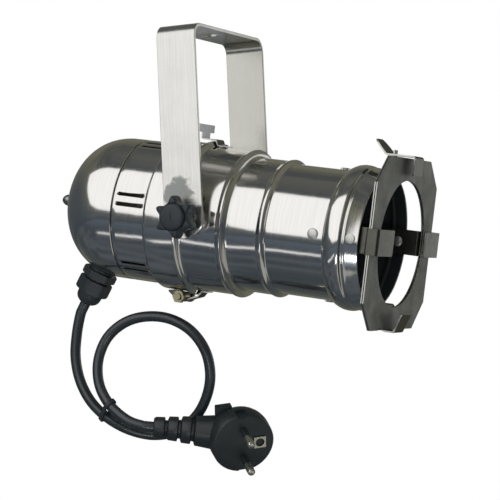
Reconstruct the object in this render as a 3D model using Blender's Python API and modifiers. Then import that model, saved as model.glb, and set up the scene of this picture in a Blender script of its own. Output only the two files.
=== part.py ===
# Par can for one 64 mm reflector lamp: two-part housing, yoke, colour frame and mains lead.
# Lengths are in metres. The can is drawn along +X from the yoke's pivot and then nosed down.
import math

import bmesh
import bpy
from mathutils import Matrix, Vector

# Fits and sheet
GAP = 0.0003
SHEET = 0.0009
ROUND_STEPS = 36
BORE_STEPS = 12

# Housing: the tube's radius, the steps from it, and stations along its axis from the pivot
TUBE_R = 0.0388
MID_STEP = 0.0015
BACK_STEP = 0.0032
RING_STEP = 0.0033
LAP_PLAY = 0.0004
VENT_STEP = 0.0024
RIM_RISE = 0.0006
FLARE_RISE = 0.0042
RIM_TAPER = 0.0022
RIM_X = 0.1063
GROOVE_X = 0.0968
FLARE_CREST_X = 0.0925
FLARE_START_X = 0.0843
FRONT_BEAD_X = 0.0455
FRONT_BEAD_RISE = 0.0009
BACK_BEAD_X = 0.0208
BACK_BEAD_RISE = 0.0010
SEAM_X = -0.0085
RING_WIDTH = 0.0036
STEP_X = -0.0286
DOME_SEAM_X = -0.0510
DOME_SHOULDER_X = -0.0596
DOME_DEPTH = 0.0372
DOME_POWER = 2.2
NEST = 0.0009

# Vent slots, in six pairs
VENT_PAIRS = 6
VENT_TURN = math.radians(-8)
VENT_SPREAD = math.radians(4.1)
VENT_X = -0.0397
VENT_LENGTH = 0.0165
VENT_WIDTH = 0.0022

# Yoke and its pivot
TILT = math.radians(10.2)
PIVOT_DROP = 0.1136
YOKE_WIDTH = 0.0248
YOKE_SHEET = 0.0020
YOKE_PLAY = 0.0006
YOKE_BEND_R = 0.0075
BOLT_HOLE_R = 0.0052
STUD_R = 0.0029
STUD_LENGTH = 0.0190
SPACER_R = 0.0100
PIVOT_NUT_AF = 0.0100
PIVOT_NUT_H = 0.0040
WASHER_R = 0.0080
WASHER_H = 0.0012
KNOB_R = 0.0104
KNOB_SWING = 0.0018
KNOB_HUB_R = 0.0070
KNOB_CAP_R = 0.0080
KNOB_HUB_H = 0.0022
KNOB_GRIP_H = 0.0102
KNOB_CAP_H = 0.0024
KNOB_BORE_H = 0.0060

# Colour frame: two leaves with a cut-out for the light
FRAME_SIDE = 0.1000
FRAME_CHAMFER = 0.0157
FRAME_HOLE_R = 0.0370
FRAME_FRONT_X = 0.1179
FRAME_LEAF = 0.0008
FRAME_SLOT = 0.0004
FRAME_DROP = 0.0006
NOTCH_Y = 0.0193
NOTCH_WIDTH = 0.0045
NOTCH_DEPTH = 0.0012

# Clips that hold the colour frame
CLIP_WIDTH = 0.0150
CLIP_SHEET = 0.0010
CLIP_BEND_R = 0.0013
CLIP_TAIL_X = 0.0710
CLIP_LIP_STAND = 0.0040
SIDE_LIP = 0.0240
SHORT_LIP = 0.0110
LIP_FLARE = 0.0036
FRAME_EDGE_GAP = 0.0006
RIVET_X = 0.0778
RIM_RIVET_X = 0.1020
RIVET_HEAD_R = 0.00325
RIVET_R = 0.0016

# Top clip and its bracket
BRACKET_X = 0.1075
TONGUE_WIDTH = 0.0050
TONGUE_RISE = 0.0024
HOOK_PLAY = 0.0011
TAB_REACH = 0.0080
SLOT_LENGTH = 0.0038
PLATE_BACK_X = 0.1046

# Latch over the seam
LATCH_WIDTH = 0.0106
LATCH_SHEET = 0.0009
LATCH_FRONT_X = 0.0010
LATCH_AXIS_X = -0.0085
LATCH_LEG_X = -0.0155
LATCH_HEAD_WIDTH = 0.0210
LATCH_HEAD_RISE = 0.0047
LATCH_TOP_RISE = 0.0095
LATCH_RIVET_X = -0.0018
LATCH_RIVET_HEAD_R = 0.0022

# Hinge under the seam
HINGE_X = -0.0170
HINGE_DROP = 0.0022
PIN_R = 0.0020
KNUCKLE_SHEET = 0.0009
KNUCKLE_WIDTH = 0.0092
KNUCKLE_FRONT_X = -0.0006
LUG_REACH = 0.0085
EAR_SHEET = 0.0010
PIN_NUT_AF = 0.0070
PIN_NUT_H = 0.0032
PIN_HEAD_R = 0.0035
PIN_HEAD_H = 0.0024

# Lamp, its holder and what fixes them in the dome
LAMP_R = 0.0320
LAMP_FRONT_X = 0.0178
LAMP_BULGE = 0.0040
LAMP_NECK_X = -0.0400
LAMP_NECK_R = 0.0143
CAP_R = 0.0131
CAP_LENGTH = 0.0255
CONTACT_R = 0.0045
CONTACT_H = 0.0020
HOLDER_R = 0.0200
HOLDER_FRONT_X = -0.0440
HOLDER_LENGTH = 0.0400
HOLDER_COLLAR = 0.0200
HOLDER_BACK = 0.0110
BRACKET_SHEET = 0.0012
BRACKET_WIDTH = 0.0120
BRACKET_FOOT = 0.0120
SEAT_RISE = 0.0010
AXIS_SCREW_R = 0.0025
BASE_SCREW_R = 0.0015
CAP_NUT_AF = 0.0080
CAP_NUT_H = 0.0105
CAP_WASHER_R = 0.0050
CAP_WASHER_H = 0.0010

# Cable gland under the dome
GLAND_X = -0.0757
GLAND_LEAN = math.radians(22)
GLAND_THREAD_R = 0.0078
GLAND_HEX_AF = 0.0192
GLAND_HEX_H = 0.0060
GLAND_NUT_AF = 0.0188
GLAND_NUT_H = 0.0160
LOCKNUT_AF = 0.0200
LOCKNUT_H = 0.0035
LOCKNUT_DEPTH = 0.0042

# Lead, cable tie and plug, in the frame of the yoke
CORD_R = 0.00325
CORD_STEP = 2.0
CORD_ROUTE = (
    (-0.1013, 0.0000, -0.1781),
    (-0.1031, 0.0001, -0.1931),
    (-0.1006, 0.0003, -0.2080),
    (-0.0935, 0.0006, -0.2214),
    (-0.0829, 0.0026, -0.2320),
    (-0.0708, 0.0076, -0.2397),
    (-0.0575, 0.0138, -0.2434),
    (-0.0434, 0.0184, -0.2413),
    (-0.0310, 0.0193, -0.2328),
    (-0.0221, 0.0173, -0.2207),
    (-0.0172, 0.0137, -0.2069),
    (-0.0179, 0.0096, -0.1924),
    (-0.0253, 0.0059, -0.1798),
    (-0.0378, 0.0029, -0.1720),
    (-0.0527, 0.0011, -0.1699),
    (-0.0674, 0.0001, -0.1730),
    (-0.0796, -0.0006, -0.1818),
    (-0.0861, -0.0016, -0.1953),
    (-0.0854, -0.0032, -0.2102),
    (-0.0778, -0.0049, -0.2231),
    (-0.0661, -0.0054, -0.2326),
)
TIE_WIDTH = 0.0036
TIE_SHEET = 0.0011
TIE_PLACE = Vector((-0.0818, 0.0, -0.2263))
TIE_CLEARANCE = 0.0007
PLUG_FACE = Vector((0.0029, 0.0140, -0.2499))
PLUG_PINS_TO = Vector((0.5803, -0.6833, -0.4431))
PLUG_SIDE_TO = Vector((0.7858, 0.6127, 0.0843))
PLUG_R = 0.0195
PLUG_DEPTH = 0.0210
PLUG_NECK_DEPTH = 0.0120
PLUG_NECK_START = Vector((-0.0497, 0.0000, -0.2377))
NECK_R = 0.0098
RELIEF_R = 0.0064
RELIEF_RIBS = 3
PIN_SPREAD = 0.0190
PLUG_PIN_R = 0.0024
PLUG_PIN_LENGTH = 0.0190
EARTH_OFFSET = 0.0102
EARTH_HOLE_R = 0.0027
EARTH_SIDE = 0.0076
PLUG_TAB_LOW = Vector((-0.0130, 0.0120, -0.0190))
PLUG_TAB_HIGH = Vector((-0.0030, 0.0192, -0.0140))

# Sizes worked out from the ones above
MID_R = TUBE_R + MID_STEP
BACK_R = MID_R + BACK_STEP
RING_R = BACK_R + RING_STEP
REAR_R = RING_R - SHEET - LAP_PLAY
VENT_R = REAR_R - VENT_STEP
RIM_R = TUBE_R + RIM_RISE
FLARE_R = TUBE_R + FLARE_RISE
YOKE_INNER_Y = RING_R + YOKE_PLAY
YOKE_OUTER_Y = YOKE_INNER_Y + YOKE_SHEET
PIVOT_Z = -PIVOT_DROP
TUBE_INNER_R = TUBE_R - SHEET
CLIP_OUTER = math.sqrt(TUBE_INNER_R ** 2 - (CLIP_WIDTH / 2) ** 2) - GAP
CLIP_MID = CLIP_OUTER - CLIP_SHEET / 2
FRAME_THICK = 2 * FRAME_LEAF + FRAME_SLOT
FRAME_BACK_X = FRAME_FRONT_X - FRAME_THICK
CLIP_BACK_X = FRAME_BACK_X - GAP - CLIP_SHEET / 2
CLIP_LIP_X = FRAME_FRONT_X + CLIP_LIP_STAND + CLIP_SHEET / 2
SIDE_WALL = FRAME_SIDE / 2 + FRAME_EDGE_GAP + CLIP_SHEET / 2
FRAME_TOP_Z = FRAME_SIDE / 2 - FRAME_DROP
BOTTOM_WALL_Z = -(FRAME_SIDE / 2 + FRAME_DROP + GAP + CLIP_SHEET / 2)
TOP_PLATE_Z = FRAME_TOP_Z + FRAME_EDGE_GAP + CLIP_SHEET / 2
LATCH_Z = RING_R + GAP + LATCH_SHEET / 2
LATCH_HEAD_Z = RING_R + LATCH_HEAD_RISE
LATCH_TOP_Z = RING_R + LATCH_TOP_RISE
HINGE_Z = -(RING_R + HINGE_DROP)
KNUCKLE_R = PIN_R + 0.0002 + KNUCKLE_SHEET / 2
EAR_Y = KNUCKLE_WIDTH / 2 + GAP + EAR_SHEET / 2
HINGE = Vector((HINGE_X, 0, HINGE_Z))
HOLDER_REAR_X = HOLDER_FRONT_X - HOLDER_LENGTH
HOLDER_BORE_R = CAP_R + GAP
DOME_POLE_X = DOME_SHOULDER_X - DOME_DEPTH
LEAN_DIRECTION = Vector((-math.sin(GLAND_LEAN), 0, -math.cos(GLAND_LEAN)))


def clear_scene():
    for obj in list(bpy.data.objects):
        bpy.data.objects.remove(obj, do_unlink=True)


def new_collection(name):
    collection = bpy.data.collections.new(name)
    bpy.context.scene.collection.children.link(collection)
    return collection


clear_scene()
PARTS = new_collection("par_can")
CUTTERS = new_collection("cutters")


def new_material(name, colour, metallic, roughness):
    material = bpy.data.materials.new(name)
    material.use_nodes = True
    shader = material.node_tree.nodes["Principled BSDF"]
    shader.inputs["Base Color"].default_value = (*colour, 1.0)
    shader.inputs["Metallic"].default_value = metallic
    shader.inputs["Roughness"].default_value = roughness
    return material


POLISHED = new_material("polished_aluminium", (0.78, 0.79, 0.80), 1.0, 0.16)
SATIN = new_material("satin_aluminium", (0.70, 0.70, 0.70), 1.0, 0.34)
STEEL = new_material("zinc_steel", (0.60, 0.61, 0.62), 1.0, 0.30)
YELLOW_ZINC = new_material("yellow_zinc", (0.66, 0.50, 0.24), 1.0, 0.32)
DARK_SHEET = new_material("dark_sheet", (0.12, 0.12, 0.13), 0.6, 0.55)
BLACK_PLASTIC = new_material("black_plastic", (0.02, 0.02, 0.02), 0.0, 0.35)
BLACK_RUBBER = new_material("black_rubber", (0.015, 0.015, 0.015), 0.0, 0.60)
CERAMIC = new_material("white_ceramic", (0.85, 0.83, 0.78), 0.0, 0.40)
GLASS = new_material("lamp_glass", (0.80, 0.83, 0.85), 0.0, 0.10)
BRASS = new_material("nickel_brass", (0.76, 0.68, 0.48), 1.0, 0.28)


# Empties that carry the pieces: the can's pivot, and the joints on the can
def new_axis(name, location, parent=None):
    empty = bpy.data.objects.new(name, None)
    empty.empty_display_size = 0.01
    empty.parent = parent
    empty.location = location
    PARTS.objects.link(empty)
    return empty


CAN_FRAME = Matrix.Translation((0, 0, PIVOT_Z)) @ Matrix.Rotation(TILT, 4, "Y")
CAN = new_axis("can_axis", (0, 0, PIVOT_Z))
CAN.rotation_euler = (0, TILT, 0)
REAR = new_axis("rear_hinge_axis", HINGE, CAN)
LATCH_AXIS = Vector((LATCH_AXIS_X, 0, LATCH_Z))
LATCH = new_axis("latch_axis", LATCH_AXIS, CAN)
TOP_CLIP_AXIS = Vector((BRACKET_X, 0, TOP_PLATE_Z))
TOP_CLIP = new_axis("top_clip_axis", TOP_CLIP_AXIS, CAN)
AXIS_OFFSETS = {CAN: Vector(), REAR: HINGE, LATCH: LATCH_AXIS, TOP_CLIP: TOP_CLIP_AXIS}


def hang(obj, axis):
    """Parent a piece drawn in the can's frame to one of the axes."""
    obj.parent = axis
    obj.matrix_parent_inverse = Matrix.Translation(-AXIS_OFFSETS[axis])
    return obj


def hang_from_world(obj, axis):
    """Parent a piece drawn in the yoke's frame to one of the axes."""
    obj.parent = axis
    offset = Matrix.Translation(AXIS_OFFSETS[axis])
    obj.matrix_parent_inverse = (CAN_FRAME @ offset).inverted()
    return obj


def add_mesh(name, bm, material, smooth_angle=30):
    """Turn a bmesh into a smooth-shaded object of the model."""
    bm.normal_update()
    bmesh.ops.recalc_face_normals(bm, faces=bm.faces)
    mesh = bpy.data.meshes.new(name)
    bm.to_mesh(mesh)
    bm.free()
    mesh.shade_smooth()
    mesh.set_sharp_from_angle(angle=math.radians(smooth_angle))
    obj = bpy.data.objects.new(name, mesh)
    if material:
        obj.data.materials.append(material)
        PARTS.objects.link(obj)
    else:
        obj.hide_render = True
        obj.display_type = "WIRE"
        CUTTERS.objects.link(obj)
    return obj


# Turned pieces: a profile of (station, radius) from the front to the back
ALONG_X = Matrix.Rotation(math.pi / 2, 4, "Y")
ALONG_Y = Matrix.Rotation(-math.pi / 2, 4, "X")
AGAINST_Y = Matrix.Rotation(math.pi / 2, 4, "X")


def turned(name, profile, material, wall=0.0, steps=ROUND_STEPS, frame=ALONG_X):
    bm = bmesh.new()
    points = [bm.verts.new((radius, 0, station)) for station, radius in profile]
    for first, second in zip(points, points[1:]):
        bm.edges.new((first, second))
    mesh = bpy.data.meshes.new(name)
    bm.to_mesh(mesh)
    bm.free()
    obj = bpy.data.objects.new(name, mesh)
    obj.data.materials.append(material)
    PARTS.objects.link(obj)
    obj.matrix_local = frame
    screw = obj.modifiers.new("turn", "SCREW")
    screw.steps = steps
    screw.render_steps = steps
    screw.use_merge_vertices = True
    screw.merge_threshold = 0.00001
    screw.use_smooth_shade = True
    if wall:
        solid = obj.modifiers.new("wall", "SOLIDIFY")
        solid.thickness = wall
        solid.offset = -1
    return obj


# Pieces lofted along their axis through round, hexagonal or lobed sections
def circle(radius):
    return lambda angle: radius


def hexagon(across_flats):
    sixth = math.pi / 3
    return lambda angle: across_flats / 2 / math.cos(angle % sixth - sixth / 2)


def star(radius, swing):
    """Six narrow lobes, one of them straight up when the can is at rest."""
    def outline(angle):
        wave = 6 * (angle - math.pi / 2 - TILT)
        return radius + swing * (math.cos(wave) + 0.25 * math.cos(2 * wave))
    return outline


def lofted(name, sections, material, frame, count=18, ring=False):
    bm = bmesh.new()
    loops = []
    for height, outline in sections:
        angles = [2 * math.pi * step / count for step in range(count)]
        loops.append([
            bm.verts.new((outline(a) * math.cos(a), outline(a) * math.sin(a), height))
            for a in angles
        ])
    pairs = list(zip(loops, loops[1:]))
    if ring:
        pairs.append((loops[-1], loops[0]))
    else:
        bm.faces.new(loops[0])
        bm.faces.new(loops[-1])
    for low, high in pairs:
        for step in range(count):
            after = (step + 1) % count
            bm.faces.new((low[step], low[after], high[after], high[step]))
    bm.transform(frame)
    return add_mesh(name, bm, material)


# Sheet pieces: outlines in the side, top or front plane, with an even width
SIDE = Matrix.Rotation(math.pi / 2, 4, "X")
TOP = Matrix.Identity(4)
FRONT = Matrix(((0, 0, 1, 0), (1, 0, 0, 0), (0, 1, 0, 0), (0, 0, 0, 1)))


def rounded(path, radius, steps=4):
    """Swap each inner corner of a path for an arc."""
    path = [Vector(point) for point in path]
    result = [path[0]]
    for before, corner, after in zip(path, path[1:], path[2:]):
        back = (before - corner).normalized()
        ahead = (after - corner).normalized()
        turn = math.pi - back.angle(ahead)
        if turn < 0.02:
            result.append(corner)
            continue
        start = corner + back * radius * math.tan(turn / 2)
        centre = corner + (back + ahead).normalized() * radius / math.cos(turn / 2)
        sign = 1 if back.x * ahead.y - back.y * ahead.x < 0 else -1
        for step in range(steps + 1):
            arm = (start - centre).to_3d()
            arm.rotate(Matrix.Rotation(sign * turn * step / steps, 3, "Z"))
            result.append(centre + arm.to_2d())
    return result + [path[-1]]


def ribbon(path, thickness):
    """Outline of a strip whose middle follows the path."""
    left, right = [], []
    for index, point in enumerate(path):
        before = path[index] - path[index - 1] if index else path[1] - path[0]
        after = path[index + 1] - point if index + 1 < len(path) else before
        along = (before.normalized() + after.normalized()).normalized()
        half = thickness / 2 / along.dot(after.normalized())
        side = Vector((-along.y, along.x)) * half
        left.append(point + side)
        right.append(point - side)
    return left + right[::-1]


def arc(centre, radius, start, end, steps):
    """Points on an arc, with its angles in degrees."""
    angles = [math.radians(start + (end - start) * step / steps) for step in range(steps + 1)]
    return [
        Vector((centre[0] + radius * math.cos(a), centre[1] + radius * math.sin(a)))
        for a in angles
    ]


def extruded(name, outlines, width, plane, material, offset=(0, 0, 0)):
    """Fill closed outlines, the later ones as holes, and give them an even width."""
    curve = bpy.data.curves.new(name, "CURVE")
    curve.dimensions = "2D"
    curve.fill_mode = "BOTH"
    curve.extrude = width / 2
    for outline in outlines:
        spline = curve.splines.new("POLY")
        spline.points.add(len(outline) - 1)
        spline.use_cyclic_u = True
        for target, point in zip(spline.points, outline):
            target.co = (point[0], point[1], 0, 1)
    flat = bpy.data.objects.new(name, curve)
    PARTS.objects.link(flat)
    graph = bpy.context.evaluated_depsgraph_get()
    mesh = bpy.data.meshes.new_from_object(flat.evaluated_get(graph))
    bpy.data.objects.remove(flat)
    bpy.data.curves.remove(curve)
    bm = bmesh.new()
    bm.from_mesh(mesh)
    bpy.data.meshes.remove(mesh)
    bmesh.ops.remove_doubles(bm, verts=bm.verts, dist=0.000005)
    bm.transform(Matrix.Translation(offset) @ plane)
    return add_mesh(name, bm, material)


def rod(name, radius, start, end, material, steps=BORE_STEPS):
    """A plain cylinder between two points."""
    start, end = Vector(start), Vector(end)
    axis = end - start
    bm = bmesh.new()
    bmesh.ops.create_cone(bm, cap_ends=True, segments=steps, radius1=radius, radius2=radius,
                          depth=axis.length)
    turn = Vector((0, 0, 1)).rotation_difference(axis).to_matrix().to_4x4()
    bm.transform(Matrix.Translation((start + end) / 2) @ turn)
    return add_mesh(name, bm, material)


def block(name, low, high, material):
    """A box between two opposite corners."""
    size = Vector([abs(a - b) for a, b in zip(low, high)])
    bm = bmesh.new()
    bmesh.ops.create_cube(bm, size=1)
    bmesh.ops.scale(bm, vec=size, verts=bm.verts)
    bmesh.ops.translate(bm, vec=(Vector(low) + Vector(high)) / 2, verts=bm.verts)
    return add_mesh(name, bm, material)


def combine(obj, other, operation):
    """Cut the other solid from a piece, or join it on, and hide the tool."""
    if other.name in PARTS.objects:
        PARTS.objects.unlink(other)
        CUTTERS.objects.link(other)
    other.hide_render = True
    other.display_type = "WIRE"
    other.parent = obj.parent
    other.matrix_parent_inverse = obj.matrix_parent_inverse
    modifier = obj.modifiers.new(other.name, "BOOLEAN")
    modifier.operation = operation
    modifier.object = other
    modifier.solver = "EXACT"


def cut(obj, other):
    combine(obj, other, "DIFFERENCE")


def join(obj, other):
    combine(obj, other, "UNION")


def bead(station, back_radius, front_radius, rise):
    """A rolled bead with its step down towards the front, from front to back."""
    crest = back_radius + rise
    middle = (crest + front_radius) / 2
    return [
        (station + 0.0026, front_radius),
        (station + 0.0018, middle),
        (station + 0.0008, crest),
        (station - 0.0008, crest),
        (station - 0.0024, back_radius),
    ]


# Front housing: spun shell from the rim to the ring that laps the rear part
def make_front_housing():
    flare = [
        (RIM_X, RIM_R),
        (GROOVE_X + 0.0020, RIM_R + RIM_TAPER),
        (GROOVE_X + 0.0012, RIM_R + RIM_TAPER + 0.0004),
        (GROOVE_X, FLARE_R - 0.0016),
        (GROOVE_X - 0.0013, FLARE_R - 0.0008),
        (FLARE_CREST_X, FLARE_R),
        (FLARE_CREST_X - 0.0036, FLARE_R - 0.0004),
        (FLARE_START_X + 0.0024, FLARE_R - 0.0014),
        (FLARE_START_X + 0.0009, TUBE_R + 0.0016),
        (FLARE_START_X, TUBE_R),
    ]
    front_step = bead(FRONT_BEAD_X, MID_R, TUBE_R, FRONT_BEAD_RISE)
    back_step = bead(BACK_BEAD_X, BACK_R, MID_R, BACK_BEAD_RISE)
    ring = [
        (SEAM_X + RING_WIDTH, BACK_R),
        (SEAM_X + 0.0026, BACK_R + 0.0006),
        (SEAM_X + 0.0020, RING_R - 0.0010),
        (SEAM_X + 0.0012, RING_R - 0.0002),
        (SEAM_X, RING_R),
    ]
    profile = flare + front_step + back_step + ring
    housing = hang(turned("front_housing", profile, POLISHED, wall=SHEET), CAN)
    reach = RING_R + 0.01
    cut(housing, rod("cut_pivots", STUD_R + GAP, (0, -reach, 0), (0, reach, 0), None))
    for direction in (Vector((0, 1, 0)), Vector((0, 0, 1))):
        station = Vector((RIVET_X, 0, 0))
        name = f"cut_rivets_{'side' if direction.y else 'top'}"
        cut(housing, rod(name, RIVET_R + GAP, station - direction * reach,
                         station + direction * reach, None))
    rim = Vector((RIM_RIVET_X, reach, 0))
    cut(housing, rod("cut_rim_rivets", RIVET_R + GAP, rim * Vector((1, -1, 1)), rim, None))
    latch = Vector((LATCH_RIVET_X, 0, 0))
    cut(housing, rod("cut_latch_rivet", RIVET_R + GAP, latch + Vector((0, 0, TUBE_R)),
                     latch + Vector((0, 0, reach)), None))
    return housing


# Rear housing: band with the vent slots, and the dome that nests in it
def make_rear_band():
    profile = [
        (SEAM_X + NEST, REAR_R),
        (STEP_X + 0.0010, REAR_R),
        (STEP_X, REAR_R - 0.0006),
        (STEP_X - 0.0006, VENT_R),
        (DOME_SEAM_X, VENT_R),
    ]
    band = hang(turned("rear_band", profile, POLISHED, wall=SHEET), REAR)
    bm = bmesh.new()
    for pair in range(VENT_PAIRS):
        for side in (-1, 1):
            angle = VENT_TURN + pair * 2 * math.pi / VENT_PAIRS + side * VENT_SPREAD
            size = Matrix.Diagonal((VENT_LENGTH, 0.008, VENT_WIDTH, 1))
            turn = Matrix.Rotation(angle, 4, "X")
            slot = turn @ Matrix.Translation((VENT_X, -VENT_R, 0)) @ size
            bmesh.ops.create_cube(bm, size=1, matrix=slot)
    cut(band, add_mesh("cut_vents", bm, None))


def dome_radius(station):
    """Outer radius of the dome at a station behind its shoulder."""
    share = (DOME_SHOULDER_X - station) / DOME_DEPTH
    return VENT_R * max(0.0, 1 - share ** DOME_POWER) ** (1 / DOME_POWER)


def make_rear_dome():
    spigot = VENT_R - SHEET - GAP
    profile = [
        (DOME_SEAM_X + 0.0024, spigot),
        (DOME_SEAM_X - 0.0004, spigot),
        (DOME_SEAM_X - 0.0008, VENT_R),
        (DOME_SHOULDER_X, VENT_R),
    ]
    steps = 8
    for step in range(1, steps):
        angle = math.pi / 2 * step / steps
        share = math.sin(angle) ** (2 / DOME_POWER)
        station = DOME_SHOULDER_X - DOME_DEPTH * share
        profile.append((station, dome_radius(station)))
    profile.append((DOME_POLE_X, AXIS_SCREW_R + GAP))
    dome = hang(turned("rear_dome", profile, POLISHED, wall=SHEET), REAR)
    base = gland_seat()
    cut(dome, rod("cut_gland", GLAND_THREAD_R + GAP, base - LEAN_DIRECTION * 0.01,
                  base + LEAN_DIRECTION * 0.01, None, steps=24))


# Yoke: a flat strip bent to a U, with round lower ends
def make_yoke():
    middle = YOKE_OUTER_Y - YOKE_SHEET / 2
    low = PIVOT_Z - YOKE_WIDTH
    path = rounded([
        (-middle, low), (-middle, -YOKE_SHEET / 2), (middle, -YOKE_SHEET / 2), (middle, low)
    ], YOKE_BEND_R, steps=6)
    yoke = extruded("yoke", [ribbon(path, YOKE_SHEET)], YOKE_WIDTH, FRONT, SATIN)
    half = YOKE_WIDTH / 2
    end = arc((0, PIVOT_Z), half, 180, 360, 12)
    outline = [Vector((half * 2, PIVOT_Z)), Vector((half * 2, low * 2)),
               Vector((-half * 2, low * 2)), Vector((-half * 2, PIVOT_Z))]
    cut(yoke, extruded("cut_yoke_ends", [outline + end], 4 * YOKE_OUTER_Y, SIDE, None))
    reach = YOKE_OUTER_Y + 0.01
    cut(yoke, rod("cut_yoke_pivots", STUD_R + GAP, (0, -reach, PIVOT_Z), (0, reach, PIVOT_Z), None))
    cut(yoke, rod("cut_bolt_hole", BOLT_HOLE_R, (0, 0, -0.01), (0, 0, 0.01), None, steps=24))


# Pivots: spacer, nut inside the wall, washer, stud and star knob on each side
def make_pivot(side, label):
    out = ALONG_Y if side > 0 else AGAINST_Y
    inner_wall = BACK_R - SHEET
    nut_out = math.sqrt(inner_wall ** 2 - (PIVOT_NUT_AF * 0.58) ** 2) - GAP
    nut = lofted(f"pivot_nut_{label}", [
        (nut_out - PIVOT_NUT_H, circle(STUD_R + GAP)),
        (nut_out - PIVOT_NUT_H, hexagon(PIVOT_NUT_AF)),
        (nut_out, hexagon(PIVOT_NUT_AF)),
        (nut_out, circle(STUD_R + GAP)),
    ], STEEL, out, ring=True)
    hang(nut, CAN)
    spacer = lofted(f"pivot_spacer_{label}", [
        (TUBE_R, circle(STUD_R + GAP)),
        (TUBE_R, circle(SPACER_R)),
        (YOKE_INNER_Y - GAP, circle(SPACER_R)),
        (YOKE_INNER_Y - GAP, circle(STUD_R + GAP)),
    ], SATIN, out, ring=True)
    hang(spacer, CAN)
    span = Vector((3 * SPACER_R, 0, 0))
    cut(spacer, rod(f"cut_spacer_{label}", BACK_R + GAP, -span, span, None, steps=36))
    cut(spacer, rod(f"cut_spacer_ring_{label}", YOKE_OUTER_Y, -span,
                    (SEAM_X + RING_WIDTH + GAP, 0, 0), None, steps=36))
    washer_in = YOKE_OUTER_Y + GAP
    washer = lofted(f"knob_washer_{label}", [
        (washer_in, circle(STUD_R + GAP)),
        (washer_in, circle(WASHER_R)),
        (washer_in + WASHER_H, circle(WASHER_R)),
        (washer_in + WASHER_H, circle(STUD_R + GAP)),
    ], STEEL, out, ring=True)
    hang(washer, CAN)
    base = washer_in + WASHER_H + GAP
    grip = base + KNOB_HUB_H
    top = grip + KNOB_GRIP_H
    knob = lofted(f"knob_{label}", [
        (base + KNOB_BORE_H, circle(STUD_R + GAP)),
        (base, circle(STUD_R + GAP)),
        (base, circle(KNOB_HUB_R)),
        (grip, circle(KNOB_HUB_R)),
        (grip + 0.0006, star(KNOB_R - 0.0010, KNOB_SWING)),
        (grip + 0.0020, star(KNOB_R, KNOB_SWING)),
        (top - 0.0016, star(KNOB_R - 0.0004, KNOB_SWING)),
        (top, star(KNOB_R - 0.0008, KNOB_SWING * 0.7)),
        (top + 0.0002, circle(KNOB_CAP_R + 0.0004)),
        (top + KNOB_CAP_H - 0.0004, circle(KNOB_CAP_R)),
        (top + KNOB_CAP_H, circle(KNOB_CAP_R - 0.0006)),
    ], BLACK_PLASTIC, out, count=36)
    hang(knob, CAN)
    stud_end = base + KNOB_BORE_H - GAP
    stud = rod(f"knob_stud_{label}", STUD_R, (0, side * (stud_end - STUD_LENGTH), 0),
               (0, side * stud_end, 0), STEEL)
    hang(stud, CAN)


# Colour frame: an eight-sided sheet folded on itself
def frame_outline(notched):
    half = FRAME_SIDE / 2
    low, high = -half - FRAME_DROP, half - FRAME_DROP
    cut_in = half - FRAME_CHAMFER
    points = [(-cut_in, low)]
    if notched:
        for centre in (-NOTCH_Y, NOTCH_Y):
            left, right = centre - NOTCH_WIDTH / 2, centre + NOTCH_WIDTH / 2
            deep = low + NOTCH_DEPTH
            points += [(left, low), (left, deep), (right, deep), (right, low)]
    points += [(cut_in, low), (half, low + FRAME_CHAMFER), (half, high - FRAME_CHAMFER),
               (cut_in, high), (-cut_in, high), (-half, high - FRAME_CHAMFER),
               (-half, low + FRAME_CHAMFER)]
    return points


def make_colour_frame():
    hole = arc((0, -FRAME_DROP), FRAME_HOLE_R, 0, 360, ROUND_STEPS)[:-1]
    leaves = (("colour_frame_front", FRAME_FRONT_X - FRAME_LEAF / 2, True),
              ("colour_frame_back", FRAME_BACK_X + FRAME_LEAF / 2, False))
    for name, station, notched in leaves:
        leaf = extruded(name, [frame_outline(notched), hole], FRAME_LEAF, FRONT, DARK_SHEET,
                        offset=(station, 0, 0))
        hang(leaf, CAN)


# Frame clips: strips riveted inside the tube and bent round the frame's edges
def make_side_clip(side, label):
    lip_end = SIDE_WALL - CLIP_SHEET / 2 - SIDE_LIP
    path = rounded([
        (CLIP_TAIL_X, CLIP_MID), (CLIP_BACK_X, CLIP_MID), (CLIP_BACK_X, SIDE_WALL),
        (CLIP_LIP_X, SIDE_WALL), (CLIP_LIP_X, lip_end)
    ], CLIP_BEND_R)
    outline = [Vector((point.x, side * point.y)) for point in ribbon(path, CLIP_SHEET)]
    clip = hang(extruded(f"side_clip_{label}", [outline], CLIP_WIDTH, TOP, SATIN), CAN)
    y = side * CLIP_MID
    cut_rivet_holes(clip, label, Vector((0, y, 0)), (RIVET_X, RIM_RIVET_X))


def make_bottom_clip():
    path = rounded([
        (CLIP_TAIL_X, -CLIP_MID), (CLIP_BACK_X, -CLIP_MID), (CLIP_BACK_X, BOTTOM_WALL_Z),
        (CLIP_LIP_X - 0.0004, BOTTOM_WALL_Z), (CLIP_LIP_X + LIP_FLARE, BOTTOM_WALL_Z + SHORT_LIP)
    ], CLIP_BEND_R)
    clip = extruded("bottom_clip", [ribbon(path, CLIP_SHEET)], CLIP_WIDTH, SIDE, SATIN)
    hang(clip, CAN)
    cut_rivet_holes(clip, "bottom", Vector((0, 0, -CLIP_MID)), (RIVET_X,))


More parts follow.
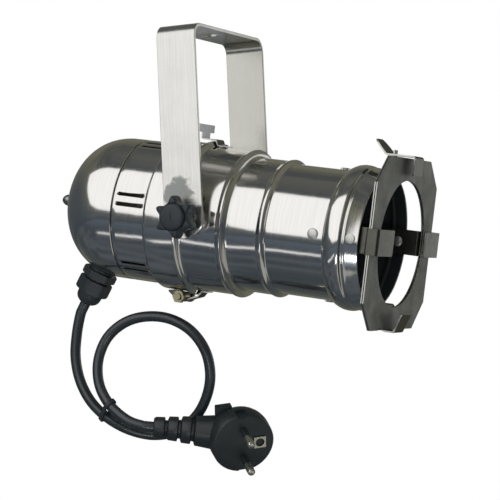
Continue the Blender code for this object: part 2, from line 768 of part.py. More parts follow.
def make_top_bracket():
    tongue_top = TOP_PLATE_Z + CLIP_SHEET / 2 + TONGUE_RISE
    path = rounded([
        (CLIP_TAIL_X, CLIP_MID), (BRACKET_X, CLIP_MID), (BRACKET_X, tongue_top)
    ], CLIP_BEND_R)
    bracket = extruded("top_bracket", [ribbon(path, CLIP_SHEET)], CLIP_WIDTH, SIDE, SATIN)
    hang(bracket, CAN)
    shoulder = TOP_PLATE_Z - CLIP_SHEET / 2 - HOOK_PLAY
    for side in (-1, 1):
        low = Vector((BRACKET_X - 0.003, side * TONGUE_WIDTH / 2, shoulder))
        high = Vector((BRACKET_X + 0.003, side * CLIP_WIDTH, tongue_top + 0.003))
        cut(bracket, block(f"cut_tongue_{'far' if side > 0 else 'near'}", low, high, None))
    cut_rivet_holes(bracket, "top", Vector((0, 0, CLIP_MID)), (RIVET_X,))


def make_top_clip():
    path = rounded([
        (PLATE_BACK_X - TAB_REACH, TOP_PLATE_Z + TAB_REACH), (PLATE_BACK_X, TOP_PLATE_Z),
        (CLIP_LIP_X, TOP_PLATE_Z), (CLIP_LIP_X, TOP_PLATE_Z - SHORT_LIP)
    ], CLIP_BEND_R)
    clip = extruded("top_clip", [ribbon(path, CLIP_SHEET)], CLIP_WIDTH, SIDE, SATIN)
    hang(clip, TOP_CLIP)
    slot_half = Vector((SLOT_LENGTH / 2, TONGUE_WIDTH / 2 + GAP, 0.003))
    cut(clip, block("cut_slot", TOP_CLIP_AXIS - slot_half, TOP_CLIP_AXIS + slot_half, None))
    corner = CLIP_WIDTH / 2
    tip = PLATE_BACK_X - TAB_REACH * 1.2
    outline = [Vector((tip + corner, -corner * 2)), Vector((tip + corner, -corner)),
               *arc((tip + corner, 0), corner, 270, 90, 8), Vector((tip + corner, corner * 2)),
               Vector((tip - corner, corner * 2)), Vector((tip - corner, -corner * 2))]
    cut(clip, extruded("cut_tab_end", [outline], 0.2, TOP, None))


def cut_rivet_holes(obj, label, middle, stations):
    """Rivet holes through a clip, square to its strip."""
    out = middle.normalized() * 0.003
    for index, station in enumerate(stations):
        centre = middle + Vector((station, 0, 0))
        name = f"cut_{label}_rivet_{index}"
        cut(obj, rod(name, RIVET_R + GAP, centre - out, centre + out, None))


# Rivets: domed outer head, shank and a set head inside
def make_rivet(name, seat, inner, outward, station, dome_outside=True, head_r=RIVET_HEAD_R):
    """Rivet from the outer seat to the inner one, both measured from the can's axis."""
    dome_h = head_r / 2
    head = [(0, head_r), (0.45 * dome_h, head_r * 0.88), (0.85 * dome_h, head_r * 0.5),
            (dome_h, 0)]
    flat = [(0, head_r * 0.8), (dome_h / 2, head_r * 0.65), (dome_h / 2, 0)]
    outer_head, inner_head = (head, flat) if dome_outside else (flat, head)
    profile = [(seat + GAP + height, radius) for height, radius in reversed(outer_head)]
    profile += [(seat + GAP, RIVET_R), (inner - GAP, RIVET_R)]
    profile += [(inner - GAP - height, radius) for height, radius in inner_head]
    turn = Vector((0, 0, 1)).rotation_difference(outward).to_matrix().to_4x4()
    frame = Matrix.Translation((station, 0, 0)) @ turn
    return hang(turned(name, profile, POLISHED, steps=BORE_STEPS, frame=frame), CAN)


def make_rivets():
    directions = {"near": Vector((0, -1, 0)), "far": Vector((0, 1, 0)),
                  "top": Vector((0, 0, 1)), "bottom": Vector((0, 0, -1))}
    inner = CLIP_MID - CLIP_SHEET / 2
    for label, outward in directions.items():
        make_rivet(f"clip_rivet_{label}", TUBE_R, inner, outward, RIVET_X)
    slope = RIM_TAPER / (RIM_X - GROOVE_X - 0.002)
    wall = RIM_R + slope * (RIM_X - RIM_RIVET_X + RIVET_HEAD_R)
    for label in ("near", "far"):
        make_rivet(f"rim_rivet_{label}", wall, inner, directions[label], RIM_RIVET_X,
                   dome_outside=False)
    top = BACK_R + GAP + LATCH_SHEET
    make_rivet("latch_rivet", top, BACK_R - SHEET, directions["top"], LATCH_RIVET_X,
               head_r=LATCH_RIVET_HEAD_R)


# Latch: riveted root, and the sprung strip that reaches over the seam ring
def make_latch():
    low = BACK_R + GAP + LATCH_SHEET / 2
    root_path = rounded([
        (LATCH_FRONT_X, low), (LATCH_RIVET_X - LATCH_RIVET_HEAD_R - GAP, low),
        (SEAM_X + 0.0026, LATCH_Z), (LATCH_AXIS_X + GAP / 2, LATCH_Z)
    ], 0.0006)
    root = extruded("latch_plate", [ribbon(root_path, LATCH_SHEET)], LATCH_WIDTH, SIDE, SATIN)
    hang(root, CAN)
    hole = Vector((LATCH_RIVET_X, 0, low))
    cut(root, rod("cut_latch_plate", RIVET_R + GAP, hole - Vector((0, 0, 0.003)),
                  hole + Vector((0, 0, 0.003)), None))
    strip = rounded([
        (LATCH_AXIS_X - GAP / 2, LATCH_Z), (LATCH_LEG_X, LATCH_Z), (LATCH_LEG_X, LATCH_TOP_Z)
    ], 0.0010)
    spring = extruded("latch_spring", [ribbon(strip, LATCH_SHEET)], LATCH_HEAD_WIDTH, SIDE, SATIN)
    hang(spring, LATCH)
    for side in (-1, 1):
        low_corner = Vector((LATCH_LEG_X - 0.005, side * LATCH_WIDTH / 2, LATCH_Z - 0.005))
        high_corner = Vector((LATCH_AXIS_X + 0.005, side * LATCH_HEAD_WIDTH, LATCH_HEAD_Z))
        cut(spring, block(f"cut_latch_{'far' if side > 0 else 'near'}", low_corner, high_corner, None))


# Hinge: curled knuckle on the front part, forked ears on the rear part, screw and nut
def make_hinge():
    weld_z = -(BACK_R + GAP + KNUCKLE_SHEET / 2)
    over_z = -(RING_R + GAP + KNUCKLE_SHEET / 2)
    curl = arc((HINGE_X, HINGE_Z), KNUCKLE_R, -62, -322, 12)
    path = [Vector((KNUCKLE_FRONT_X, weld_z)), Vector((SEAM_X + 0.0046, weld_z)),
            Vector((SEAM_X + 0.0022, over_z)), Vector((SEAM_X - 0.0022, over_z - 0.0016))]
    knuckle = extruded("hinge_knuckle", [ribbon(path + curl, KNUCKLE_SHEET)], KNUCKLE_WIDTH,
                       SIDE, SATIN)
    hang(knuckle, CAN)
    head_y = EAR_Y + EAR_SHEET / 2 + GAP
    thread_y = -(head_y + PIN_NUT_H + 0.0012)
    profile = [(head_y + PIN_HEAD_H, 0), (head_y + PIN_HEAD_H, PIN_HEAD_R * 0.6),
               (head_y + PIN_HEAD_H * 0.6, PIN_HEAD_R), (head_y, PIN_HEAD_R),
               (head_y, PIN_R), (thread_y, PIN_R), (thread_y, 0)]
    place = Matrix.Translation(HINGE) @ ALONG_Y
    hang(turned("hinge_screw", profile, YELLOW_ZINC, steps=16, frame=place), CAN)
    nut = lofted("hinge_nut", [
        (head_y, circle(PIN_R + GAP / 2)),
        (head_y, hexagon(PIN_NUT_AF)),
        (head_y + PIN_NUT_H, hexagon(PIN_NUT_AF)),
        (head_y + PIN_NUT_H, circle(PIN_R + GAP / 2)),
    ], YELLOW_ZINC, Matrix.Translation(HINGE) @ AGAINST_Y, count=18, ring=True)
    hang(nut, CAN)


def make_rear_lug():
    top = -(REAR_R + GAP)
    back, front = HINGE_X - LUG_REACH, HINGE_X - PIN_R - 0.0024
    lug = block("rear_lug", (back, -EAR_Y - EAR_SHEET / 2, top - EAR_SHEET),
                (front, EAR_Y + EAR_SHEET / 2, top), SATIN)
    hang(lug, REAR)
    tip = arc((HINGE_X, HINGE_Z), PIN_R + 0.0012, -130, 80, 10)
    ear = [Vector((back, top - EAR_SHEET)), *tip, Vector((HINGE_X - 0.002, top - 0.0004)),
           Vector((back, top - 0.0004))]
    for side in (-1, 1):
        label = "far" if side > 0 else "near"
        join(lug, extruded(f"ear_{label}", [ear], EAR_SHEET, SIDE, None,
                           offset=(0, side * EAR_Y, 0)))
    reach = Vector((0, EAR_Y + 0.005, 0))
    cut(lug, rod("cut_ears", PIN_R + GAP, HINGE - reach, HINGE + reach, None))


# Lamp and the screw-cap holder that carries it
def make_lamp():
    back = LAMP_FRONT_X - LAMP_BULGE
    lens = [(LAMP_FRONT_X, 0), (LAMP_FRONT_X - 0.0004, LAMP_R * 0.31),
            (LAMP_FRONT_X - 0.0015, LAMP_R * 0.62), (back + 0.0012, LAMP_R - 0.0010),
            (back, LAMP_R - 0.0002), (back, 0)]
    hang(turned("lamp_lens", lens, GLASS, steps=24), REAR)
    rim = back - GAP
    bowl = []
    for step in range(7):
        share = step / 6
        radius = LAMP_NECK_R + (LAMP_R - LAMP_NECK_R) * (1 - share ** 1.7)
        bowl.append((rim + (LAMP_NECK_X + 0.008 - rim) * share, radius))
    bowl += [(LAMP_NECK_X, LAMP_NECK_R), (LAMP_NECK_X, 0)]
    hang(turned("lamp_reflector", bowl, GLASS, wall=0.0012, steps=24), REAR)
    front = LAMP_NECK_X - GAP
    end = front - CAP_LENGTH
    cap = [(front, 0), (front, CAP_R), (end, CAP_R), (end - 0.0025, CONTACT_R + 0.003),
           (end - 0.0025, CONTACT_R), (end - 0.0025 - CONTACT_H, CONTACT_R * 0.8),
           (end - 0.0025 - CONTACT_H, 0)]
    hang(turned("lamp_cap", cap, BRASS, steps=24), REAR)


def make_holder():
    floor = HOLDER_REAR_X + HOLDER_BACK
    profile = [
        (floor, 0), (floor, HOLDER_BORE_R), (HOLDER_FRONT_X, HOLDER_BORE_R),
        (HOLDER_FRONT_X, HOLDER_R), (HOLDER_FRONT_X - HOLDER_COLLAR, HOLDER_R),
        (HOLDER_FRONT_X - HOLDER_COLLAR - 0.002, HOLDER_R - 0.002),
        (HOLDER_REAR_X, HOLDER_R - 0.002),
        (HOLDER_REAR_X, 0),
    ]
    holder = hang(turned("lamp_holder", profile, CERAMIC, steps=24), REAR)
    foot_x = HOLDER_REAR_X - GAP - BRACKET_SHEET / 2
    seat_x = DOME_POLE_X + SHEET + SEAT_RISE + BRACKET_SHEET / 2
    path = rounded([
        (foot_x, BRACKET_FOOT + 0.003), (foot_x, BRACKET_FOOT - 0.004),
        (seat_x, 0.0052), (seat_x, -0.0052),
        (foot_x, 0.004 - BRACKET_FOOT), (foot_x, -BRACKET_FOOT - 0.003)
    ], 0.0012)
    bracket = extruded("holder_bracket", [ribbon(path, BRACKET_SHEET)], BRACKET_WIDTH, SIDE, STEEL)
    hang(bracket, REAR)
    cut(bracket, rod("cut_bracket_axis", AXIS_SCREW_R + GAP, (seat_x - 0.003, 0, 0),
                     (seat_x + 0.003, 0, 0), None))
    for side in (-1, 1):
        label = "top" if side > 0 else "bottom"
        z = side * BRACKET_FOOT
        cut(bracket, rod(f"cut_foot_{label}", BASE_SCREW_R + GAP, (foot_x - 0.003, 0, z),
                         (foot_x + 0.003, 0, z), None))
        cut(holder, rod(f"cut_base_{label}", BASE_SCREW_R + GAP, (HOLDER_REAR_X - 0.002, 0, z),
                        (HOLDER_REAR_X + 0.0075, 0, z), None))
        seat = foot_x - BRACKET_SHEET / 2 - GAP
        screw = [(HOLDER_REAR_X + 0.0065, 0), (HOLDER_REAR_X + 0.0065, BASE_SCREW_R),
                 (seat, BASE_SCREW_R), (seat, 0.0028), (seat - 0.0015, 0.0022),
                 (seat - 0.0015, 0)]
        place = Matrix.Translation((0, 0, z)) @ ALONG_X
        hang(turned(f"base_screw_{label}", screw, STEEL, steps=12, frame=place), REAR)
    head = seat_x + BRACKET_SHEET / 2 + GAP
    washer_x = DOME_POLE_X - GAP
    nut_x = washer_x - CAP_WASHER_H - GAP
    screw_end = nut_x - CAP_NUT_H * 0.55
    profile = [(head + 0.0020, 0), (head + 0.0020, 0.0034), (head, 0.0044), (head, AXIS_SCREW_R),
               (screw_end, AXIS_SCREW_R), (screw_end, 0)]
    hang(turned("axis_screw", profile, STEEL, steps=16), REAR)
    washer = lofted("cap_washer", [
        (-washer_x, circle(AXIS_SCREW_R + GAP)), (-washer_x, circle(CAP_WASHER_R)),
        (-washer_x + CAP_WASHER_H, circle(CAP_WASHER_R)),
        (-washer_x + CAP_WASHER_H, circle(AXIS_SCREW_R + GAP)),
    ], STEEL, ALONG_X @ Matrix.Rotation(math.pi, 4, "X"), count=18, ring=True)
    hang(washer, REAR)
    hex_h = CAP_NUT_H * 0.45
    dome_r = CAP_NUT_AF / 2 - 0.0003
    nut = lofted("cap_nut", [
        (-screw_end + GAP, circle(AXIS_SCREW_R + GAP)), (-nut_x, circle(AXIS_SCREW_R + GAP)),
        (-nut_x, hexagon(CAP_NUT_AF)), (-nut_x + hex_h, hexagon(CAP_NUT_AF)),
        (-nut_x + hex_h + 0.0003, circle(dome_r)),
        (-nut_x + CAP_NUT_H * 0.70, circle(dome_r * 0.92)),
        (-nut_x + CAP_NUT_H * 0.88, circle(dome_r * 0.70)),
        (-nut_x + CAP_NUT_H * 0.97, circle(dome_r * 0.40)),
        (-nut_x + CAP_NUT_H, circle(dome_r * 0.12)),
    ], STEEL, ALONG_X @ Matrix.Rotation(math.pi, 4, "X"), count=18)
    hang(nut, REAR)


# Cable gland: body through the dome, locknut inside, domed nut with its seal
def gland_seat():
    return Vector((GLAND_X, 0, -dome_radius(GLAND_X)))


def make_gland():
    base = gland_seat()
    turn = Vector((0, 0, 1)).rotation_difference(LEAN_DIRECTION).to_matrix().to_4x4()
    place = Matrix.Translation(base) @ turn
    foot = 0.0012
    nut_in = foot + GLAND_HEX_H + GAP
    nut_out = nut_in + GLAND_NUT_H
    neck = GLAND_NUT_AF / 2 - 0.0016
    hang(lofted("gland_body", [
        (-0.0085, circle(GLAND_THREAD_R)), (foot, circle(GLAND_THREAD_R)),
        (foot, hexagon(GLAND_HEX_AF)), (foot + GLAND_HEX_H, hexagon(GLAND_HEX_AF)),
    ], BLACK_PLASTIC, place), REAR)
    hang(lofted("gland_locknut", [
        (-LOCKNUT_DEPTH - LOCKNUT_H, circle(GLAND_THREAD_R + GAP)),
        (-LOCKNUT_DEPTH - LOCKNUT_H, hexagon(LOCKNUT_AF)),
        (-LOCKNUT_DEPTH, hexagon(LOCKNUT_AF)), (-LOCKNUT_DEPTH, circle(GLAND_THREAD_R + GAP)),
    ], BLACK_PLASTIC, place, ring=True), REAR)
    hang(lofted("gland_nut", [
        (nut_in, hexagon(GLAND_NUT_AF)), (nut_in + 0.0085, hexagon(GLAND_NUT_AF)),
        (nut_in + 0.0090, circle(neck)), (nut_out - 0.0035, circle(neck * 0.96)),
        (nut_out - 0.0012, circle(neck * 0.80)), (nut_out, circle(neck * 0.55)),
    ], BLACK_PLASTIC, place), REAR)
    return place @ Vector((0, 0, nut_out + GAP))


# Lead: one smooth run from the gland to the plug, with a tie where it doubles back
def smooth_run(points, step):
    """Even points on a smooth curve through the chosen ones, with straight end pieces."""
    fine = []
    for a, b, c, d in zip(points, points[1:], points[2:], points[3:]):
        for index in range(12):
            t = index / 12
            fine.append(0.5 * (2 * b + (c - a) * t + (2 * a - 5 * b + 4 * c - d) * t ** 2
                               + (3 * b - a - 3 * c + d) * t ** 3))
    fine.append(points[-2])
    length = sum((q - p).length for p, q in zip(fine, fine[1:]))
    count = round(length / step)
    spacing, run, result = length / count, 0.0, [fine[0]]
    for p, q in zip(fine, fine[1:]):
        run += (q - p).length
        if run >= spacing * len(result) - 1e-9 and len(result) < count:
            result.append(q)
    return [points[0]] + result + [fine[-1], points[-1]]


def make_cord(gland_end):
    start = CAN_FRAME @ gland_end
    lead = CORD_R * 2 * CORD_STEP
    lead_in = start + (CAN_FRAME.to_3x3() @ LEAN_DIRECTION) * CORD_R * 2
    relief = (PLUG_FACE - PLUG_PINS_TO * PLUG_NECK_DEPTH - PLUG_NECK_START).normalized()
    end = PLUG_NECK_START - relief * GAP
    route = [start, lead_in] + [Vector(point) for point in CORD_ROUTE]
    route += [end - relief * CORD_R * 2, end]
    points = smooth_run(route, lead)
    curve = bpy.data.curves.new("cord", "CURVE")
    curve.dimensions = "3D"
    curve.bevel_depth = CORD_R
    curve.bevel_resolution = 2
    curve.use_fill_caps = True
    spline = curve.splines.new("POLY")
    spline.points.add(len(points) - 1)
    for target, point in zip(spline.points, points):
        target.co = (*point, 1)
    cord = bpy.data.objects.new("cord", curve)
    curve.materials.append(BLACK_RUBBER)
    PARTS.objects.link(cord)
    hang_from_world(cord, REAR)
    return points


def nearest_on(points, target):
    """The point of a run of straight pieces that lies nearest to the target."""
    best = None
    for p, q in zip(points, points[1:]):
        share = (target - p).dot(q - p) / (q - p).length_squared
        place = p.lerp(q, min(1, max(0, share)))
        if best is None or (place - target).length < (best - target).length:
            best = place
    return best


def make_cable_tie(points):
    half = len(points) // 2
    first = nearest_on(points[:half], TIE_PLACE)
    second = nearest_on(points[half:], TIE_PLACE)
    across = second - first
    along = across.cross(Vector((0, 1, 0))).normalized()
    reach = across.length / 2
    inner = CORD_R + TIE_CLEARANCE
    outline = (arc((-reach, 0), inner + TIE_SHEET, 90, 270, 8)
               + arc((reach, 0), inner + TIE_SHEET, -90, 90, 8))
    hole = arc((-reach, 0), inner, 90, 270, 8) + arc((reach, 0), inner, -90, 90, 8)
    x_axis, z_axis = across.normalized(), along
    y_axis = z_axis.cross(x_axis)
    frame = Matrix((x_axis, y_axis, z_axis)).transposed().to_4x4()
    frame = Matrix.Translation((first + second) / 2) @ frame
    tie = extruded("cable_tie", [outline, hole], TIE_WIDTH, frame, BLACK_PLASTIC)
    hang_from_world(tie, REAR)


# Plug: moulded angled body with a ribbed strain relief, two pins and an earth socket
def make_plug():
    z_axis = PLUG_PINS_TO.normalized()
    x_axis = (PLUG_SIDE_TO - z_axis * PLUG_SIDE_TO.dot(z_axis)).normalized()
    y_axis = z_axis.cross(x_axis)
    turn = Matrix((x_axis, y_axis, z_axis)).transposed().to_4x4()
    place = Matrix.Translation(PLUG_FACE) @ turn
    shell = [(0, circle(PLUG_R - 0.0012)), (-0.0010, circle(PLUG_R - 0.0002)),
             (-0.0090, circle(PLUG_R)), (-0.0150, circle(PLUG_R - 0.0014)),
             (-0.0190, circle(PLUG_R - 0.0052)), (-PLUG_DEPTH, circle(PLUG_R - 0.0095))]
    body = hang_from_world(lofted("plug_body", shell[::-1], BLACK_RUBBER, place, count=30), REAR)
    joint = PLUG_FACE - z_axis * PLUG_NECK_DEPTH
    run = joint - PLUG_NECK_START
    length = run.length - PLUG_R * 0.6
    sections = [(0, circle(RELIEF_R * 0.86))]
    pitch = length * 0.17
    for rib in range(RELIEF_RIBS):
        start = length * 0.04 + rib * pitch * 1.35
        radius = RELIEF_R + (NECK_R - RELIEF_R) * start / length
        sections += [(start, circle(radius)), (start + pitch, circle(radius + 0.0003)),
                     (start + pitch + 0.0002, circle(radius - 0.0012)),
                     (start + pitch * 1.32, circle(radius - 0.0011))]
    sections += [(length * 0.80, circle(NECK_R)), (length, circle(NECK_R + 0.0012))]
    aim = Vector((0, 0, 1)).rotation_difference(run.normalized()).to_matrix().to_4x4()
    neck_frame = Matrix.Translation(PLUG_NECK_START) @ aim
    join(body, lofted("plug_neck", sections, None, neck_frame, count=14))
    tab = block("plug_tab", PLUG_TAB_LOW, PLUG_TAB_HIGH, None)
    tab.data.transform(place)
    join(body, tab)
    hole = rod("cut_earth_hole", EARTH_HOLE_R, (EARTH_OFFSET, 0, -0.008), (EARTH_OFFSET, 0, 0.01), None)
    hole.data.transform(place)
    cut(body, hole)
    for side in (-1, 1):
        label = "right" if side > 0 else "left"
        edge = PLUG_R - 0.0016
        notch = block(f"cut_notch_{label}", (side * edge, -0.0028, -0.0080),
                      (side * (edge + 0.01), 0.0028, 0.01), None)
        notch.data.transform(place)
        cut(body, notch)
        tip = PLUG_PIN_LENGTH
        seat = place @ Matrix.Translation((0, side * PIN_SPREAD / 2, 0))
        pin = lofted(f"plug_pin_{label}", [
            (GAP, circle(PLUG_PIN_R)), (tip - 0.0016, circle(PLUG_PIN_R)),
            (tip - 0.0005, circle(PLUG_PIN_R * 0.80)), (tip, circle(PLUG_PIN_R * 0.45)),
        ], BRASS, seat, count=16)
        hang_from_world(pin, REAR)
    half = EARTH_SIDE / 2
    square = [(EARTH_OFFSET - half, -half), (EARTH_OFFSET + half, -half),
              (EARTH_OFFSET + half, half), (EARTH_OFFSET - half, half)]
    bore = arc((EARTH_OFFSET, 0), EARTH_HOLE_R, 0, 360, 16)[:-1]
    plate = place @ Matrix.Translation((0, 0, GAP + 0.0004))
    contact = extruded("plug_earth_contact", [square, bore], 0.0008, plate, BRASS)
    hang_from_world(contact, REAR)


make_yoke()
make_front_housing()
for pivot_side, pivot_label in ((-1, "near"), (1, "far")):
    make_pivot(pivot_side, pivot_label)
    make_side_clip(pivot_side, pivot_label)
make_bottom_clip()
make_top_bracket()
make_top_clip()
make_colour_frame()
make_rivets()
make_latch()
make_hinge()
make_rear_band()
make_rear_dome()
make_rear_lug()
make_lamp()
make_holder()
make_cable_tie(make_cord(make_gland()))
make_plug()
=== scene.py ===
import math

import bmesh
import bpy
from mathutils import Matrix, Vector


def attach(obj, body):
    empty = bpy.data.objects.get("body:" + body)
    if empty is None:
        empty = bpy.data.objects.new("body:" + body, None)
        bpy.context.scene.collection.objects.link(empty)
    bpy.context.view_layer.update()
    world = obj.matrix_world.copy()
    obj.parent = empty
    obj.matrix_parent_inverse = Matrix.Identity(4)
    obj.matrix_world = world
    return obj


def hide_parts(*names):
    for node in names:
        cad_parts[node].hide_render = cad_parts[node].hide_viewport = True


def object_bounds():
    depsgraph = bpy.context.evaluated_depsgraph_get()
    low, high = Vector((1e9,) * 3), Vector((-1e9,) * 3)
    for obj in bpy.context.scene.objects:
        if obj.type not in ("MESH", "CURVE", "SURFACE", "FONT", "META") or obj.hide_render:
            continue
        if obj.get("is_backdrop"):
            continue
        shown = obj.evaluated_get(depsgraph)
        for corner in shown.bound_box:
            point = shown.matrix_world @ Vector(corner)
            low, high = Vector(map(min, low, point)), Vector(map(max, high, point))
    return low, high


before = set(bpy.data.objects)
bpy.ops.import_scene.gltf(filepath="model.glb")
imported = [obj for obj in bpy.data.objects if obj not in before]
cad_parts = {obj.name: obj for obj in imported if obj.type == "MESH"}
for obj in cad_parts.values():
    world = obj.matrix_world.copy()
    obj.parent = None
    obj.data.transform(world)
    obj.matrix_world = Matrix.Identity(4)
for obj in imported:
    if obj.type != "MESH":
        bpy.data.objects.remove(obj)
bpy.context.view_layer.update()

# The view: long lens, a little below the can and to the right of its front end, as a
# catalogue picture is taken. The yoke hangs upright from its bolt hole at the origin.
CAMERA_PLACE = Vector((0.52174, -1.11219, -0.17430))
CAMERA_RIGHT = Vector((0.90980, 0.41259, -0.04511))
CAMERA_UP = Vector((0.05504, -0.01223, 0.99841))
CAMERA_BACK = Vector((0.41138, -0.91084, -0.03383))
camera_data = bpy.data.cameras.new("catalogue_camera")
camera_data.lens = 146.6
camera_data.sensor_width = 36
camera = bpy.data.objects.new("catalogue_camera", camera_data)
camera_turn = Matrix((CAMERA_RIGHT, CAMERA_UP, CAMERA_BACK)).transposed().to_4x4()
camera.matrix_world = Matrix.Translation(CAMERA_PLACE) @ camera_turn
bpy.context.scene.collection.objects.link(camera)
bpy.context.scene.camera = camera


# Mains lead: round black PVC lead, 6.5 mm thick, out of the gland, once round in a loop
# and back through a cable tie to the moulded plug. PVC that was extruded warm keeps a soft
# sheen along its length and a faint ripple of its cores.
def linear(code):
    """Linear colour of an sRGB hex value."""
    channels = [int(code[start:start + 2], 16) / 255 for start in (1, 3, 5)]
    return (*[c / 12.92 if c <= 0.04045 else ((c + 0.055) / 1.055) ** 2.4
              for c in channels], 1.0)


def set_sockets(node, sockets):
    """Give sockets their values or links; a node stands for the first of its live outputs."""
    for name, value in sockets.items():
        if isinstance(value, bpy.types.Node):
            value = next(output for output in value.outputs if output.enabled)
        if isinstance(value, bpy.types.NodeSocket):
            node.id_data.links.new(value, node.inputs[name])
        else:
            node.inputs[name].default_value = value


def add_node(owner, kind, sockets=None, **settings):
    """Add a shader node to a material or world, with its settings and what its sockets take."""
    node = owner.node_tree.nodes.new("ShaderNode" + kind)
    for name, value in settings.items():
        setattr(node, name, value)
    set_sockets(node, sockets or {})
    return node


def set_finish(material, sockets):
    set_sockets(material.node_tree.nodes["Principled BSDF"], sockets)


def new_finish(name, colour, metallic, roughness):
    """A material of one plain finish, and the object's coordinates for its patterns."""
    material = bpy.data.materials.new(name)
    material.use_nodes = True
    set_finish(material, {"Base Color": linear(colour), "Metallic": metallic,
                          "Roughness": roughness})
    return material, add_node(material, "TexCoord").outputs["Object"]


def mixed(owner, share, low, high):
    """Colour between two others, each an sRGB hex value or a node."""
    tints = [linear(tint) if isinstance(tint, str) else tint for tint in (low, high)]
    return add_node(owner, "Mix", {"Factor": share, "A": tints[0], "B": tints[1]},
                    data_type="RGBA")


def vary(material, pattern, gloss=None, tints=None, relief=None):
    """Let a pattern change a finish: its roughness, its colour or its height in metres."""
    if gloss:
        set_finish(material, {"Roughness": add_node(material, "MapRange", {
            "Value": pattern, "To Min": gloss[0], "To Max": gloss[1]})})
    if tints:
        set_finish(material, {"Base Color": mixed(material, pattern, *tints)})
    if relief:
        set_finish(material, {"Normal": add_node(material, "Bump", {
            "Height": pattern, "Distance": relief})})


def grained(name, colour, metallic, roughness, grain, detail, **changes):
    """A finish that one uneven pattern varies; its grain is the real size of its patches."""
    material, coords = new_finish(name, colour, metallic, roughness)
    pattern = add_node(material, "TexNoise",
                       {"Vector": coords, "Scale": 1 / grain, "Detail": detail})
    vary(material, pattern, **changes)
    return material, coords


def install(obj, body, slot, *nodes):
    """Link a finished piece, hang it on its body and let it stand for its CAD nodes."""
    bpy.context.scene.collection.objects.link(obj)
    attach(obj, body)
    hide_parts(*nodes)
    return obj


GAP = 0.0003
TILT = math.radians(10.2)
PIVOT_DROP = 0.1136
CAN = Matrix.Translation((0, 0, -PIVOT_DROP)) @ Matrix.Rotation(TILT, 4, "Y")
GLAND_SEAT = Vector((-0.0757, 0, -0.03985))
GLAND_LEAN = math.radians(22)
GLAND_OUT = Vector((-math.sin(GLAND_LEAN), 0, -math.cos(GLAND_LEAN)))
GLAND_LENGTH = 0.0238
CORD_R = 0.00325
CORD_ROUTE = (
    (-0.1013, 0.0000, -0.1781), (-0.1031, 0.0001, -0.1931), (-0.1006, 0.0003, -0.2080),
    (-0.0935, 0.0006, -0.2214), (-0.0829, 0.0026, -0.2320), (-0.0708, 0.0076, -0.2397),
    (-0.0575, 0.0138, -0.2434), (-0.0434, 0.0184, -0.2413), (-0.0310, 0.0193, -0.2328),
    (-0.0221, 0.0173, -0.2207), (-0.0172, 0.0137, -0.2069), (-0.0179, 0.0096, -0.1924),
    (-0.0253, 0.0059, -0.1798), (-0.0378, 0.0029, -0.1720), (-0.0527, 0.0011, -0.1699),
    (-0.0674, 0.0001, -0.1730), (-0.0796, -0.0006, -0.1818), (-0.0861, -0.0016, -0.1953),
    (-0.0854, -0.0032, -0.2102), (-0.0778, -0.0049, -0.2231), (-0.0661, -0.0054, -0.2326),
)
PLUG_FACE = Vector((0.0029, 0.0140, -0.2499))
PLUG_AIM = Vector((0.5803, -0.6833, -0.4431)).normalized()
PLUG_NECK_DEPTH = 0.0120
PLUG_NECK_START = Vector((-0.0497, 0.0000, -0.2377))


def smooth_run(points, per_span):
    """Points on a smooth curve through the chosen ones; its end spans stay straight."""
    points = [Vector(point) for point in points]
    run = [points[0]]
    for a, b, c, d in zip(points, points[1:], points[2:], points[3:]):
        for index in range(per_span):
            t = index / per_span
            run.append(0.5 * (2 * b + (c - a) * t + (2 * a - 5 * b + 4 * c - d) * t ** 2
                              + (3 * b - a - 3 * c + d) * t ** 3))
    return run + points[-2:]


gland_end = CAN @ (GLAND_SEAT + GLAND_OUT * GLAND_LENGTH)
lead_in = gland_end + (CAN.to_3x3() @ GLAND_OUT) * CORD_R * 2
relief_run = PLUG_FACE - PLUG_AIM * PLUG_NECK_DEPTH - PLUG_NECK_START
relief_aim = relief_run.normalized()
cord_end = PLUG_NECK_START - relief_aim * GAP
cord_route = [gland_end, lead_in, *CORD_ROUTE, cord_end - relief_aim * CORD_R * 2, cord_end]
cord_points = smooth_run(cord_route, 10)

# Handling marks 6 mm across dull the sheen here and there; the ripple is 1.2 mm across
lead_pvc, lead_coords = grained("extruded_black_pvc", "#20282d", 0.0, 0.3, grain=0.006,
                                detail=3.0, gloss=(0.22, 0.36))
lead_ripple = add_node(lead_pvc, "TexNoise",
                       {"Vector": lead_coords, "Scale": 1 / 0.0012, "Detail": 2.0})
vary(lead_pvc, lead_ripple, relief=0.00004)
set_finish(lead_pvc, {"Specular IOR Level": 1.0})

cord_curve = bpy.data.curves.new("mains_lead", "CURVE")
cord_curve.dimensions = "3D"
cord_curve.bevel_depth = CORD_R
cord_curve.bevel_resolution = 7
cord_curve.use_fill_caps = True
cord_line = cord_curve.splines.new("POLY")
cord_line.points.add(len(cord_points) - 1)
for target, point in zip(cord_line.points, cord_points):
    target.co = (*point, 1)
cord_line.use_smooth = True
cord_curve.materials.append(lead_pvc)
cord = bpy.data.objects.new("mains_lead", cord_curve)
install(cord, "can_rear", "black_rubber", "cord")


# Front housing: one spun aluminium shell, polished outside and sprayed black inside. Two
# rolled beads step it down from the ring at the seam to the tube, and a bulge with a
# groove ends it at the rim. Polishing on the lathe leaves hair lines round the can.
def eased(points, per_span=6):
    """Points on a smooth line through the corners of a turned profile."""
    points = [Vector(point) for point in points]
    ends = [2 * points[0] - points[1], *points, 2 * points[-1] - points[-2]]
    return smooth_run(ends, per_span)[1:-1]


